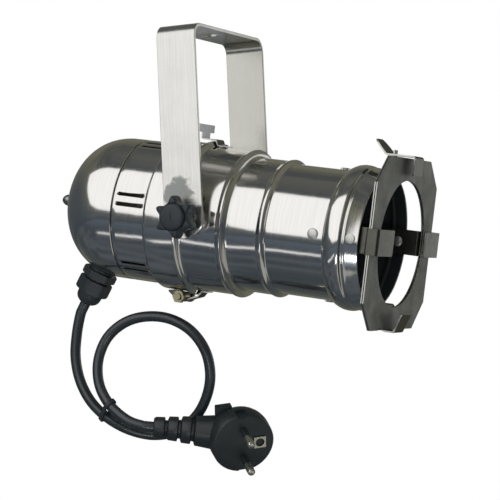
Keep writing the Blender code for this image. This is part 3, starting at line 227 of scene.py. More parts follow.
def spun(profile, steps=160):
    """Turn a profile of (station, radius) about the can's axis."""
    bm = bmesh.new()
    verts = [bm.verts.new((station, 0, radius)) for station, radius in profile]
    edges = [bm.edges.new(pair) for pair in zip(verts, verts[1:])]
    bmesh.ops.spin(bm, geom=verts + edges, axis=(1, 0, 0), cent=(0, 0, 0),
                   angle=2 * math.pi, steps=steps, use_merge=True)
    bmesh.ops.remove_doubles(bm, verts=bm.verts, dist=0.000001)
    return bm


def mesh_piece(name, bm, place, *materials, sharp=28):
    """A smooth-shaded object from a mesh that is moved to its place first."""
    bm.transform(place)
    bm.normal_update()
    bmesh.ops.recalc_face_normals(bm, faces=bm.faces)
    mesh = bpy.data.meshes.new(name)
    bm.to_mesh(mesh)
    bm.free()
    mesh.shade_smooth()
    mesh.set_sharp_from_angle(angle=math.radians(sharp))
    for material in materials:
        mesh.materials.append(material)
    return bpy.data.objects.new(name, mesh)


def give_wall(obj, thickness, offset=-1, lining=0, rim=0):
    """Give an open sheet its thickness; lining and rim are finish slots of inner face and edge."""
    wall = obj.modifiers.new("wall", "SOLIDIFY")
    wall.thickness = thickness
    wall.offset = offset
    wall.material_offset = lining
    wall.material_offset_rim = rim
    return obj


SHEET = 0.0009
TUBE_R = 0.0388
MID_R = 0.0403
BACK_R = 0.0435
RING_R = 0.0468
FLARE_R = 0.0430
RIM_R = 0.0394
RIM_X = 0.1063
GROOVE_X = 0.0968
FLARE_CREST_X = 0.0925
FLARE_START_X = 0.0843
FRONT_BEAD_X = 0.0455
BACK_BEAD_X = 0.0208
SEAM_X = -0.0085
RING_WIDTH = 0.0036


def bead(station, back_radius, front_radius, rise):
    """A rolled bead with its step down towards the front, from front to back."""
    crest = back_radius + rise
    return eased([
        (station + 0.0034, front_radius), (station + 0.0026, front_radius + 0.00005),
        (station + 0.0018, (crest + front_radius) / 2), (station + 0.0008, crest - 0.0001),
        (station, crest), (station - 0.0008, crest - 0.0002),
        (station - 0.0024, back_radius + 0.00005), (station - 0.0034, back_radius),
    ])


flare = eased([
    (RIM_X, RIM_R), (RIM_X - 0.0030, RIM_R + 0.0009), (GROOVE_X + 0.0028, RIM_R + 0.0021),
    (GROOVE_X + 0.0013, FLARE_R - 0.0010), (GROOVE_X + 0.0003, FLARE_R - 0.0017),
    (GROOVE_X - 0.0006, FLARE_R - 0.0014), (GROOVE_X - 0.0016, FLARE_R - 0.0005),
    (FLARE_CREST_X, FLARE_R), (FLARE_CREST_X - 0.0030, FLARE_R - 0.0002),
    (FLARE_START_X + 0.0028, FLARE_R - 0.0010), (FLARE_START_X + 0.0011, TUBE_R + 0.0022),
    (FLARE_START_X + 0.0003, TUBE_R + 0.0008), (FLARE_START_X - 0.0003, TUBE_R + 0.0001),
    (FLARE_START_X - 0.0010, TUBE_R),
])
seam_ring = eased([
    (SEAM_X + RING_WIDTH + 0.0012, BACK_R), (SEAM_X + RING_WIDTH, BACK_R + 0.0002),
    (SEAM_X + 0.0028, BACK_R + 0.0010), (SEAM_X + 0.0021, RING_R - 0.0010),
    (SEAM_X + 0.0013, RING_R - 0.0002), (SEAM_X + 0.0004, RING_R), (SEAM_X, RING_R - 0.0001),
])
front_profile = [*flare, *bead(FRONT_BEAD_X, MID_R, TUBE_R, 0.0009),
                 *bead(BACK_BEAD_X, BACK_R, MID_R, 0.0010), *seam_ring]

polished, polish_coords = new_finish("lathe_polished_aluminium", "#eeece8", 1.0, 0.1)
# Hair lines 0.5 mm apart run round the can; spinning leaves a swell, 12 mm along it by 30
can_frame = add_node(polished, "Mapping", {"Vector": polish_coords, "Rotation": (0, -TILT, 0)})
hair_frame = add_node(polished, "Mapping", {"Vector": can_frame, "Scale": (1 / 0.0005, 40, 40)})
hair_lines = add_node(polished, "TexNoise", {"Vector": hair_frame, "Scale": 1.0, "Detail": 3.0})
swell_frame = add_node(polished, "Mapping",
                       {"Vector": can_frame, "Scale": (1 / 0.012, 1 / 0.03, 1 / 0.03)})
swell = add_node(polished, "TexNoise", {"Vector": swell_frame, "Scale": 1.0, "Detail": 1.0})
vary(polished, hair_lines, gloss=(0.07, 0.17), tints=("#e6e4e0", "#fbf9f6"))
hair_bump = add_node(polished, "Bump", {"Height": hair_lines, "Distance": 0.0000025})
set_finish(polished, {"Normal": add_node(polished, "Bump", {
    "Height": swell, "Distance": 0.00012, "Normal": hair_bump})})
# Sprayed paint dries with a fine orange peel, about a millimetre across
black_paint, _ = grained("heatproof_black_paint", "#272c2f", 0.0, 0.55, grain=0.001, detail=2.0,
                          relief=0.00003)

front_shell = mesh_piece("front_shell", spun(front_profile), CAN, polished, black_paint)
give_wall(front_shell, SHEET, lining=1)
install(front_shell, "can_front", "polished_aluminium", "front_housing")


# Rear band: a short spun ring that goes in under the seam ring and steps in to the dome.
# Six pairs of cooling slots are punched through it, 16 mm long and 2 mm wide.
REAR_R = 0.0455
VENT_R = 0.0431
STEP_X = -0.0286
DOME_SEAM_X = -0.0510
VENT_X = -0.0397
VENT_LENGTH = 0.0165
VENT_HEIGHT = 0.0022
VENT_WIDTH = math.degrees(VENT_HEIGHT / VENT_R)
VENT_TURN = -8.0
VENT_SPREAD = 4.1
band_profile = [
    (SEAM_X + 0.0009, REAR_R), (SEAM_X, REAR_R), (STEP_X + 0.0022, REAR_R),
    *eased([(STEP_X + 0.0012, REAR_R - 0.0001), (STEP_X + 0.0004, REAR_R - 0.0007),
            (STEP_X - 0.0004, VENT_R + 0.0005), (STEP_X - 0.0012, VENT_R)], 4),
    (VENT_X + VENT_LENGTH / 2, VENT_R), (VENT_X - VENT_LENGTH / 2, VENT_R),
    (DOME_SEAM_X + 0.0006, VENT_R),
    *eased([(DOME_SEAM_X + 0.0003, VENT_R - 0.0001), (DOME_SEAM_X, VENT_R - 0.0004)], 3),
]
gap_between = 2 * VENT_SPREAD - VENT_WIDTH
band_turns = (((VENT_WIDTH, 3), (gap_between, 4), (VENT_WIDTH, 3),
               (60 - 2 * VENT_WIDTH - gap_between, 22)) * 6)
bm = bmesh.new()
ring = [bm.verts.new((station, -radius, 0)) for station, radius in band_profile]
bmesh.ops.rotate(bm, verts=ring, cent=(0, 0, 0),
                 matrix=Matrix.Rotation(math.radians(VENT_TURN - VENT_SPREAD - VENT_WIDTH / 2), 3, "X"))
moving = ring + [bm.edges.new(pair) for pair in zip(ring, ring[1:])]
slots = []
for index, (span, steps) in enumerate(band_turns):
    before = set(bm.faces)
    spun_out = bmesh.ops.spin(bm, geom=moving, axis=(1, 0, 0), cent=(0, 0, 0),
                              angle=math.radians(span), steps=steps)
    moving = spun_out["geom_last"]
    if index % 4 in (0, 2):
        slots += [face for face in bm.faces if face not in before
                  and abs(face.calc_center_median().x - VENT_X) < VENT_LENGTH / 2]
bmesh.ops.delete(bm, geom=slots, context="FACES")
bmesh.ops.remove_doubles(bm, verts=bm.verts, dist=0.000002)
rear_band = mesh_piece("vented_band", bm, CAN, polished, black_paint)
give_wall(rear_band, SHEET, lining=1, rim=1)
install(rear_band, "can_rear", "polished_aluminium", "rear_band")


# Dome: spun end cap that nests in the band, with a cap nut on its axis and the gland hole
# underneath.
DOME_SHOULDER_X = -0.0596
DOME_DEPTH = 0.0372
DOME_POWER = 2.2
DOME_STEPS = 45
AXIS_HOLE_R = 0.0028
dome_profile = [(DOME_SEAM_X + 0.0024, VENT_R - SHEET - GAP),
                (DOME_SEAM_X - 0.0003, VENT_R - SHEET - GAP),
                (DOME_SEAM_X - 0.0005, VENT_R - 0.0004),
                (DOME_SEAM_X - 0.0009, VENT_R), (DOME_SHOULDER_X, VENT_R)]
for step in range(1, DOME_STEPS):
    share = math.sin(math.pi / 2 * step / DOME_STEPS) ** (2 / DOME_POWER)
    radius = VENT_R * (1 - share ** DOME_POWER) ** (1 / DOME_POWER)
    if radius > AXIS_HOLE_R + 0.0002:
        dome_profile.append((DOME_SHOULDER_X - DOME_DEPTH * share, radius))
dome_profile.append((DOME_SHOULDER_X - DOME_DEPTH, AXIS_HOLE_R))
dome = mesh_piece("end_dome", spun(dome_profile), CAN, polished, black_paint)
give_wall(dome, SHEET, lining=1)
install(dome, "can_rear", "polished_aluminium", "rear_dome")


# Yoke: aluminium strip 25 by 2 mm, cut round at both ends, drilled, and bent to a U. Its
# finish is brushed along the strip, so it shines in one soft broad light.
def arc(centre, radius, start, end, steps):
    """Points on an arc, with its angles in degrees."""
    angles = [math.radians(start + (end - start) * step / steps) for step in range(steps + 1)]
    return [Vector((centre[0] + radius * math.cos(a), centre[1] + radius * math.sin(a)))
            for a in angles]


def hole(centre, radius, steps=24):
    return arc(centre, radius, 0, 360, steps)[:-1]


def oblong(start, end, width):
    """Corners of a rectangle whose middle line is on the X axis."""
    return [(start, -width / 2), (end, -width / 2), (end, width / 2), (start, width / 2)]


def round_end(end, width, corner):
    """Points round the two rounded corners at the far end of a strip."""
    middle = width / 2 - corner
    return [*arc((end - corner, -middle), corner, 270, 360, 5),
            *arc((end - corner, middle), corner, 0, 90, 5)]


def rounded(path, radius, steps=8):
    """Swap each inner corner of a path for an arc."""
    path = [Vector(point) for point in path]
    result = [path[0]]
    for before, corner, after in zip(path, path[1:], path[2:]):
        back, ahead = (before - corner).normalized(), (after - corner).normalized()
        turn = math.pi - back.angle(ahead)
        start = corner + back * radius * math.tan(turn / 2)
        centre = corner + (back + ahead).normalized() * radius / math.cos(turn / 2)
        sign = 1 if back.x * ahead.y - back.y * ahead.x < 0 else -1
        for step in range(steps + 1):
            arm = (start - centre).to_3d()
            arm.rotate(Matrix.Rotation(sign * turn * step / steps, 3, "Z"))
            result.append(centre + arm.to_2d())
    return result + [path[-1]]


def blank(*outlines):
    """A flat sheet from closed outlines, the first its edge and the others holes in it."""
    bm = bmesh.new()
    for outline in outlines:
        verts = [bm.verts.new((*point, 0)) for point in outline]
        for pair in zip(verts, verts[1:] + verts[:1]):
            bm.edges.new(pair)
    bmesh.ops.triangle_fill(bm, use_beauty=True, use_dissolve=False, edges=bm.edges[:])
    return bm


def path_length(path):
    return sum((b - a).length for a, b in zip(path, path[1:]))


def bent(bm, path):
    """Bend a flat sheet, whose length runs along X, to follow a path in the XZ plane."""
    marks = [0.0]
    for before, point in zip(path, path[1:]):
        marks.append(marks[-1] + (point - before).length)
    for mark in marks[1:-1]:
        bmesh.ops.bisect_plane(bm, geom=bm.verts[:] + bm.edges[:] + bm.faces[:], dist=0.0000001,
                               plane_co=(mark, 0, 0), plane_no=(1, 0, 0))
    for vert in bm.verts:
        index = max(i for i in range(len(path) - 1) if i == 0 or marks[i] <= vert.co.x + 1e-7)
        share = (vert.co.x - marks[index]) / (marks[index + 1] - marks[index])
        spot = path[index].lerp(path[index + 1], share)
        vert.co = (spot.x, vert.co.y, spot.y)
    return bm


def sheet_piece(name, bm, place, thickness, *materials, edge=0.00015):
    """A bent sheet with its thickness and broken edges; a second finish is for its cut edges."""
    obj = give_wall(mesh_piece(name, bm, place, *materials), thickness, offset=0,
                    rim=len(materials) - 1)
    soften(obj, edge)
    return obj


def soften(obj, width, segments=2):
    """Break the sharp edges of a piece."""
    bevel = obj.modifiers.new("edges", "BEVEL")
    bevel.width = width
    bevel.segments = segments
    bevel.limit_method = "ANGLE"
    bevel.angle_limit = math.radians(40)
    bevel.harden_normals = True


YOKE_WIDTH = 0.0248
YOKE_SHEET = 0.0020
YOKE_OUTER_Y = 0.0494
YOKE_BEND_R = 0.0075
BOLT_HOLE_R = 0.0052
STUD_R = 0.0029
yoke_middle = YOKE_OUTER_Y - YOKE_SHEET / 2
yoke_half = YOKE_WIDTH / 2
yoke_path = rounded([(-yoke_middle, -PIVOT_DROP - yoke_half), (-yoke_middle, -YOKE_SHEET / 2),
                     (yoke_middle, -YOKE_SHEET / 2), (yoke_middle, -PIVOT_DROP - yoke_half)],
                    YOKE_BEND_R, steps=12)
yoke_length = path_length(yoke_path)
yoke_edge = (arc((yoke_half, 0), yoke_half, 90, 270, 40)
             + arc((yoke_length - yoke_half, 0), yoke_half, -90, 90, 40))
yoke_holes = [hole((yoke_half, 0), STUD_R + GAP), hole((yoke_length - yoke_half, 0), STUD_R + GAP),
              hole((yoke_length / 2, 0), BOLT_HOLE_R, 40)]
ACROSS = Matrix.Rotation(math.pi / 2, 4, "Z")

brushed, brushed_coords = new_finish("brushed_aluminium", "#d2d1cd", 1.0, 0.3)
# Brush strokes 0.3 mm wide run the length of the strip, with cloudy patches from handling
stroke_frame = add_node(brushed, "Mapping",
                        {"Vector": brushed_coords, "Scale": (1 / 0.0003, 30, 30)})
strokes = add_node(brushed, "TexNoise", {"Vector": stroke_frame, "Scale": 1.0, "Detail": 4.0})
clouds = add_node(brushed, "TexNoise",
                  {"Vector": brushed_coords, "Scale": 1 / 0.014, "Detail": 4.0})
vary(brushed, clouds, gloss=(0.16, 0.34))
vary(brushed, strokes, relief=0.00002)
# Painted shade: the far leg is given darker, duller tints than the near one, for the shadow it lies in
leg_parts = add_node(brushed, "SeparateXYZ", {"Vector": brushed_coords})
far_leg_shade = add_node(brushed, "MapRange", {"Value": leg_parts.outputs["Y"], "From Min": 0.0,
                                         "From Max": 0.044, "To Min": 0.0, "To Max": 0.75})
leg_tint_and_shade = mixed(brushed, far_leg_shade, mixed(brushed, strokes, "#d6d5d0", "#f3f2ee"),
                 mixed(brushed, clouds, "#b3b1a6", "#d9d8d0"))
# Painted reflection: a dark ragged patch about 18 mm across, the knob mirrored in the near leg, is
# painted just above the knob
knob_reflection_frame = add_node(brushed, "VectorMath", operation="SUBTRACT", sockets={
    0: brushed_coords, 1: (0.0008, -YOKE_OUTER_Y, -PIVOT_DROP + 0.0150)})
knob_reflection_way = add_node(brushed, "VectorMath", {0: knob_reflection_frame}, operation="LENGTH")
knob_reflection_ragged = add_node(brushed, "Math", {0: clouds, 1: 0.032, 2: knob_reflection_way},
                       operation="MULTIPLY_ADD")
painted_knob_reflection = add_node(brushed, "MapRange", {"Value": knob_reflection_ragged, "From Min": 0.0240,
                                           "From Max": 0.0262, "To Min": 0.85, "To Max": 0.0})
# The painted reflection of the knob darkens the leg's tints there
set_finish(brushed, {"Base Color": mixed(brushed, painted_knob_reflection, leg_tint_and_shade, "#7f8380")})

yoke = sheet_piece("bent_yoke", bent(blank(yoke_edge, *yoke_holes), yoke_path), ACROSS,
                   YOKE_SHEET, brushed, edge=0.0003)
install(yoke, "yoke", "satin_aluminium", "yoke")


# Pivots: on each side a turned spacer fits over the tube's wall, and outside the leg a
# washer and a star knob clamp the yoke. The knob is moulded in black nylon with six lobes
# and a smooth round cap; its steel stud runs into a nut inside the can.
def facing(direction):
    """Turn that brings the X axis, along which pieces are drawn, to a direction."""
    return Vector((1, 0, 0)).rotation_difference(Vector(direction)).to_matrix().to_4x4()


def outline_ring(bm, station, outline, count):
    """A ring of edges at a station; its outline is a radius, or gives one for each angle."""
    made = bmesh.ops.create_circle(bm, segments=count, radius=1, cap_ends=False,
                                   matrix=Matrix.Rotation(math.pi / 2, 4, "Y"))
    for vert in made["verts"]:
        angle = math.atan2(vert.co.z, vert.co.y)
        radius = outline(angle) if callable(outline) else outline
        vert.co = (station, radius * math.cos(angle), radius * math.sin(angle))
    return list({edge for vert in made["verts"] for edge in vert.link_edges})


def lofted(sections, count=96, closed=True):
    """Bridge rings of (station, outline) into one skin, and close its ends."""
    bm = bmesh.new()
    rings = [outline_ring(bm, station, outline, count) for station, outline in sections]
    for ring, after in zip(rings, rings[1:]):
        bmesh.ops.bridge_loops(bm, edges=ring + after)
    if closed:
        bmesh.ops.holes_fill(bm, edges=rings[0] + rings[-1], sides=0)
    return bm


def turned_piece(name, body, slot, node, place, foot, material, count, sections, bored=False,
                 sharp=28):
    """Install a piece lofted through its rings, each a height above its foot and an outline."""
    rings = [(foot + height, outline) for height, outline in sections]
    install(mesh_piece(name, lofted(rings, count, closed=not bored), place, material, sharp=sharp),
            body, slot, node)


def star(radius, swing):
    """Six narrow lobes, one of them straight up when the can is at rest."""
    def outline(angle):
        wave = 6 * (angle - math.pi / 2 - TILT)
        return radius + swing * (math.cos(wave) + 0.25 * math.cos(2 * wave))
    return outline


def hexagon(across_flats, corner=1.0):
    """Six flats with their corners turned off at a share of the full corner radius."""
    sixth = math.pi / 3
    return lambda angle: min(across_flats / 2 / math.cos(angle % sixth - sixth / 2),
                             across_flats / math.sqrt(3) * corner)


def refinish(material, *nodes):
    """Give CAD nodes that keep their shape a material of this scene."""
    for name in nodes:
        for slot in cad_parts[name].material_slots:
            slot.material = material


WASHER_H = 0.0012
WASHER_R = 0.0080
KNOB_FOOT_H = 0.0022
KNOB_GRIP_H = 0.0102
KNOB_R = 0.0104
KNOB_SWING = 0.0018
# Spark-eroded moulds leave a fine even grain, here 0.4 mm across so that it shows
nylon, _ = grained("moulded_black_nylon", "#262d32", 0.0, 0.42, grain=0.0004, detail=2.0,
                    gloss=(0.30, 0.46), relief=0.00003)
zinc, zinc_coords = new_finish("bright_zinc_steel", "#b4b6b8", 1.0, 0.3)
# Bright zinc settles in crystals that show as faint patches 1.5 mm across
spangle = add_node(zinc, "TexVoronoi", {"Vector": zinc_coords, "Scale": 1 / 0.0015})
vary(zinc, spangle, gloss=(0.22, 0.38))

knob_grip = KNOB_FOOT_H
knob_top = knob_grip + KNOB_GRIP_H
knob_profile = [
    (0, 0.0032), (0, 0.0066), (0.0004, 0.0070),
    (knob_grip - 0.0002, 0.0071), (knob_grip + 0.0001, 0.0076),
    (knob_grip + 0.0003, star(KNOB_R - 0.0012, KNOB_SWING * 0.9)),
    (knob_grip + 0.0008, star(KNOB_R - 0.0006, KNOB_SWING)),
    (knob_grip + 0.0018, star(KNOB_R - 0.0001, KNOB_SWING)),
    (knob_grip + 0.0030, star(KNOB_R, KNOB_SWING)),
    (knob_top - 0.0022, star(KNOB_R - 0.0002, KNOB_SWING)),
    (knob_top - 0.0012, star(KNOB_R - 0.0004, KNOB_SWING)),
    (knob_top - 0.0004, star(KNOB_R - 0.0009, KNOB_SWING * 0.85)),
    (knob_top - 0.0001, star(KNOB_R - 0.0013, KNOB_SWING * 0.6)),
    (knob_top - 0.0002, 0.0083), (knob_top - 0.0010, 0.0080),
    (knob_top - 0.0010, 0.0077), (knob_top + 0.0012, 0.0077),
    (knob_top + 0.0018, 0.0075), (knob_top + 0.0022, 0.0070),
    (knob_top + 0.0024, 0.0062), (knob_top + 0.0024, 0.0004),
]
for side, label in ((-1, "near"), (1, "far")):
    outward = CAN @ facing((0, side, 0))
    turned_piece(f"star_knob_{label}", f"knob_{label}", "black_plastic", f"knob_{label}", outward,
                 YOKE_OUTER_Y + WASHER_H + 2 * GAP, nylon, 144, knob_profile, sharp=35)
    turned_piece(f"plain_washer_{label}", "can_front", "zinc_steel", f"knob_washer_{label}",
                 outward, YOKE_OUTER_Y + GAP, zinc, 64, [
                     (0, STUD_R + GAP), (0, WASHER_R - 0.0002), (0.0002, WASHER_R),
                     (WASHER_H - 0.0002, WASHER_R), (WASHER_H, WASHER_R - 0.0002),
                     (WASHER_H, STUD_R + GAP), (0, STUD_R + GAP)], bored=True)
refinish(brushed, "pivot_spacer_near", "pivot_spacer_far")
refinish(zinc, "pivot_nut_near", "pivot_nut_far", "knob_stud_near", "knob_stud_far")


# Colour frame: an eight-sided steel sheet folded on itself, with a round cut-out for the
# light and two thumb notches in its lower edge. It is left as rolled and stained by heat,
# so it looks dull and blotchy, and only its cut edges shine.
FRONT = Matrix(((0, 0, 1, 0), (1, 0, 0, 0), (0, 1, 0, 0), (0, 0, 0, 1)))
FRAME_SIDE = 0.1000
FRAME_CHAMFER = 0.0157
FRAME_HOLE_R = 0.0370
FRAME_FRONT_X = 0.1179
FRAME_LEAF = 0.0008
FRAME_DROP = 0.0006
NOTCH_PLACE = 0.0193
NOTCH_WIDTH = 0.0045
NOTCH_DEPTH = 0.0012
FRAME_BACK_X = FRAME_FRONT_X - 0.0020
rolled, rolled_coords = new_finish("rolled_steel_sheet", "#6a6c68", 1.0, 0.5)
# Heat stains a centimetre across, and rolling streaks half a millimetre wide up the sheet
stains = add_node(rolled, "TexNoise", {"Vector": rolled_coords, "Scale": 1 / 0.011,
                                       "Detail": 6.0, "Roughness": 0.62})
vary(rolled, stains, gloss=(0.62, 0.42), tints=("#5e615b", "#9b9c96"))
streak_frame = add_node(rolled, "Mapping",
                        {"Vector": rolled_coords, "Scale": (1 / 0.0006, 1 / 0.0006, 35)})
streaks = add_node(rolled, "TexNoise", {"Vector": streak_frame, "Scale": 1.0, "Detail": 3.0})
vary(rolled, streaks, relief=0.00002)
# Shearing leaves fine lines 0.2 mm apart across the bright edge
cut_steel, _ = grained("sheared_steel_edge", "#d6d6d0", 1.0, 0.28, grain=0.0002, detail=2.0,
                        gloss=(0.2, 0.4))

half = FRAME_SIDE / 2
low, high = -half - FRAME_DROP, half - FRAME_DROP
notches = [(centre + side * NOTCH_WIDTH / 2, low + depth) for centre in (-NOTCH_PLACE, NOTCH_PLACE)
           for side, depth in ((-1, 0), (-1, NOTCH_DEPTH), (1, NOTCH_DEPTH), (1, 0))]
octagon = [(FRAME_CHAMFER - half, low), (half - FRAME_CHAMFER, low),
           (half, low + FRAME_CHAMFER), (half, high - FRAME_CHAMFER),
           (half - FRAME_CHAMFER, high), (FRAME_CHAMFER - half, high),
           (-half, high - FRAME_CHAMFER), (-half, low + FRAME_CHAMFER)]
light_hole = hole((0, -FRAME_DROP), FRAME_HOLE_R, 120)
for name, outline, station in (
        ("front", [octagon[0], *notches, *octagon[1:]], FRAME_FRONT_X - FRAME_LEAF / 2),
        ("back", octagon, FRAME_BACK_X + FRAME_LEAF / 2)):
    leaf = sheet_piece(f"frame_leaf_{name}", blank(outline, light_hole),
                       CAN @ Matrix.Translation((station, 0, 0)) @ FRONT, FRAME_LEAF, rolled,
                       cut_steel)
    install(leaf, "can_front", "dark_sheet", f"colour_frame_{name}")


# Frame clips: steel strips 15 mm wide, riveted inside the tube and bent out round the
# frame's edges. Two at the sides and one below stay as they are; the top one is loose.
CLIP_WIDTH = 0.0150
CLIP_SHEET = 0.0010
CLIP_BEND_R = 0.0013
CLIP_CORNER = 0.0012
CLIP_TAIL_X = 0.0710
RIVET_X = 0.0778
RIM_RIVET_X = 0.1020
RIVET_R = 0.0016
CLIP_MID = math.sqrt((TUBE_R - SHEET) ** 2 - (CLIP_WIDTH / 2) ** 2) - GAP - CLIP_SHEET / 2
CLIP_BACK_X = FRAME_BACK_X - GAP - CLIP_SHEET / 2
CLIP_LIP_X = FRAME_FRONT_X + 0.0040 + CLIP_SHEET / 2
SIDE_WALL = half + 0.0006 + CLIP_SHEET / 2
BOTTOM_WALL_Z = -(half + FRAME_DROP + GAP + CLIP_SHEET / 2)
TOP_PLATE_Z = half - FRAME_DROP + 0.0006 + CLIP_SHEET / 2
# Tumbling takes the gloss off unevenly, in patches 3 mm across
clip_steel, _ = grained("satin_spring_steel", "#66675f", 1.0, 0.32, grain=0.003, detail=4.0,
                         gloss=(0.2, 0.45), relief=0.00003)


def rivet_hole(place):
    return hole((place, 0), RIVET_R + GAP)


def steel_strip(name, body, node, path, edge, *holes, place=CAN, sheet=CLIP_SHEET, metal=None,
                broken=0.00015):
    """Cut a strip, bend it to its path and install it, with bright sheared edges."""
    piece = sheet_piece(name, bent(blank(edge, *holes), path), place, sheet, metal or clip_steel,
                        cut_steel, edge=broken)
    install(piece, body, "satin_aluminium", node)


def clip_edge(path):
    """Outline of a clip's flat strip, with two rounded corners at its far end."""
    return [(0, -CLIP_WIDTH / 2), *round_end(path_length(path), CLIP_WIDTH, CLIP_CORNER),
            (0, CLIP_WIDTH / 2)]


side_path = rounded([(CLIP_TAIL_X, CLIP_MID), (CLIP_BACK_X, CLIP_MID), (CLIP_BACK_X, SIDE_WALL),
                     (CLIP_LIP_X, SIDE_WALL), (CLIP_LIP_X, SIDE_WALL - CLIP_SHEET / 2 - 0.0240)],
                    CLIP_BEND_R)
for side, label in ((-1, "near"), (1, "far")):
    steel_strip(f"side_strip_{label}", "can_front", f"side_clip_{label}", side_path,
                clip_edge(side_path), rivet_hole(RIVET_X - CLIP_TAIL_X),
                rivet_hole(RIM_RIVET_X - CLIP_TAIL_X),
                place=CAN @ Matrix.Rotation(-side * math.pi / 2, 4, "X"))
bottom_path = rounded([(CLIP_TAIL_X, -CLIP_MID), (CLIP_BACK_X, -CLIP_MID),
                       (CLIP_BACK_X, BOTTOM_WALL_Z), (CLIP_LIP_X - 0.0004, BOTTOM_WALL_Z),
                       (CLIP_LIP_X + 0.0036, BOTTOM_WALL_Z + 0.0110)], CLIP_BEND_R)
steel_strip("bottom_strip", "can_front", "bottom_clip", bottom_path, clip_edge(bottom_path),
            rivet_hole(RIVET_X - CLIP_TAIL_X))


# Top clip: the loose catch over the frame's top edge. Its slot hooks on a narrow tongue of
# the riveted bracket, and the round tab at its back is lifted to let the frame out.
BRACKET_X = 0.1075
TONGUE_WIDTH = 0.0050
PLATE_BACK_X = 0.1046
TAB_REACH = 0.0080
SLOT_HALF = 0.0019
tongue_top = TOP_PLATE_Z + CLIP_SHEET / 2 + 0.0024
bracket_path = rounded([(CLIP_TAIL_X, CLIP_MID), (BRACKET_X, CLIP_MID), (BRACKET_X, tongue_top)],
                       CLIP_BEND_R)
bracket_length = path_length(bracket_path)
shoulder = bracket_length - (tongue_top - TOP_PLATE_Z + CLIP_SHEET / 2 + 0.0011)
wide = oblong(0, shoulder, CLIP_WIDTH)
bracket_edge = [*wide[:2], *oblong(shoulder, bracket_length, TONGUE_WIDTH), *wide[2:]]
steel_strip("catch_bracket", "can_front", "top_bracket", bracket_path, bracket_edge,
            rivet_hole(RIVET_X - CLIP_TAIL_X))

catch_path = rounded([(PLATE_BACK_X - TAB_REACH, TOP_PLATE_Z + TAB_REACH),
                      (PLATE_BACK_X, TOP_PLATE_Z), (CLIP_LIP_X, TOP_PLATE_Z),
                      (CLIP_LIP_X, TOP_PLATE_Z - 0.0110)], CLIP_BEND_R)
tab_tip = [(max(0.0, point.x) * math.sqrt(2), point.y) for point in arc(
    (CLIP_WIDTH / 2 - TAB_REACH * 0.2, 0), CLIP_WIDTH / 2, 90, 270, 24)]
slot_middle = path_length(catch_path[:2 + 8]) + BRACKET_X - catch_path[9].x
catch_slot = oblong(slot_middle - SLOT_HALF, slot_middle + SLOT_HALF, TONGUE_WIDTH + 2 * GAP)
steel_strip("frame_catch", "frame_catch", "top_clip", catch_path,
            [*tab_tip, *round_end(path_length(catch_path), CLIP_WIDTH, CLIP_CORNER)], catch_slot)


# Rivets: solid aluminium rivets with domed heads hold the clips; the two near the rim are
# put in from inside, so that their domes show on the clip strips through the mouth. They
# are satin from tumbling, with dents a millimetre across where they struck each other.
tumbled, _ = grained("tumbled_aluminium", "#e4e3de", 1.0, 0.4, grain=0.001, detail=2.0,
                      gloss=(0.32, 0.5))


def rivet(name, node, seat, inner, outward, station, head_r=0.00325, dome_outside=True):
    """Rivet from its outer seat to its inner one, both measured from the can's axis."""
    rise = head_r * 0.24
    dome = [(rise * math.sin(math.radians(a)), head_r * math.cos(math.radians(a)))
            for a in (0, 12, 24, 36, 48, 60, 72, 84)]
    flat = [(height * 0.5, radius * 0.9) for height, radius in dome]
    outer, under = (dome, flat) if dome_outside else (flat, dome)
    profile = [(seat + GAP + height, radius) for height, radius in reversed(outer)]
    profile += [(seat + GAP, RIVET_R), (inner - GAP, RIVET_R)]
    profile += [(inner - GAP - height, radius) for height, radius in under]
    bm = spun([(profile[0][0], 0), *profile, (profile[-1][0], 0)], steps=32)
    place = CAN @ Matrix.Translation((station, 0, 0)) @ facing(outward)
    install(mesh_piece(name, bm, place, tumbled, sharp=40), "can_front",
            "polished_aluminium", node)


AROUND = {"near": (0, -1, 0), "far": (0, 1, 0), "top": (0, 0, 1), "bottom": (0, 0, -1)}
clip_inner = CLIP_MID - CLIP_SHEET / 2
for label, outward in AROUND.items():
    rivet(f"domed_rivet_{label}", f"clip_rivet_{label}", TUBE_R, clip_inner, outward, RIVET_X)
rim_wall = RIM_R + 0.0022 / (RIM_X - GROOVE_X - 0.002) * (RIM_X - RIM_RIVET_X + 0.00325)
for label in ("near", "far"):
    rivet(f"mouth_rivet_{label}", f"rim_rivet_{label}", rim_wall, clip_inner, AROUND[label],
          RIM_RIVET_X, dome_outside=False)


# Latch: a springy steel strip riveted on top of the front part. It steps over the seam
# ring and turns up into a wide thumb piece that is pushed to open the can.
LATCH_WIDTH = 0.0106
LATCH_SHEET = 0.0009
LATCH_HEAD_WIDTH = 0.0210
LATCH_FRONT_X = 0.0010
LATCH_RIVET_X = -0.0018
LATCH_RIVET_HEAD_R = 0.0022
LATCH_LEG_X = -0.0155
LATCH_HEAD_Z = 0.0515
LATCH_TOP_Z = 0.0563
latch_low = BACK_R + GAP + LATCH_SHEET / 2
latch_z = RING_R + GAP + LATCH_SHEET / 2
root_path = rounded([(LATCH_FRONT_X, latch_low), (LATCH_RIVET_X - LATCH_RIVET_HEAD_R - GAP, latch_low),
                     (SEAM_X + 0.0026, latch_z), (SEAM_X + GAP / 2, latch_z)], 0.0006)
steel_strip("latch_root", "can_front", "latch_plate", root_path,
            oblong(0, path_length(root_path), LATCH_WIDTH),
            rivet_hole(LATCH_FRONT_X - LATCH_RIVET_X), sheet=LATCH_SHEET)
strip_path = rounded([(SEAM_X - GAP / 2, latch_z), (LATCH_LEG_X, latch_z),
                      (LATCH_LEG_X, LATCH_TOP_Z)], 0.0010)
strip_length = path_length(strip_path)
neck = strip_length - (LATCH_TOP_Z - LATCH_HEAD_Z)
thumb = LATCH_HEAD_WIDTH / 2
narrow = oblong(0, neck, LATCH_WIDTH)
latch_edge = [*narrow[:2], (neck, -thumb), *round_end(strip_length, LATCH_HEAD_WIDTH, 0.0010),
              (neck, thumb), *narrow[2:]]
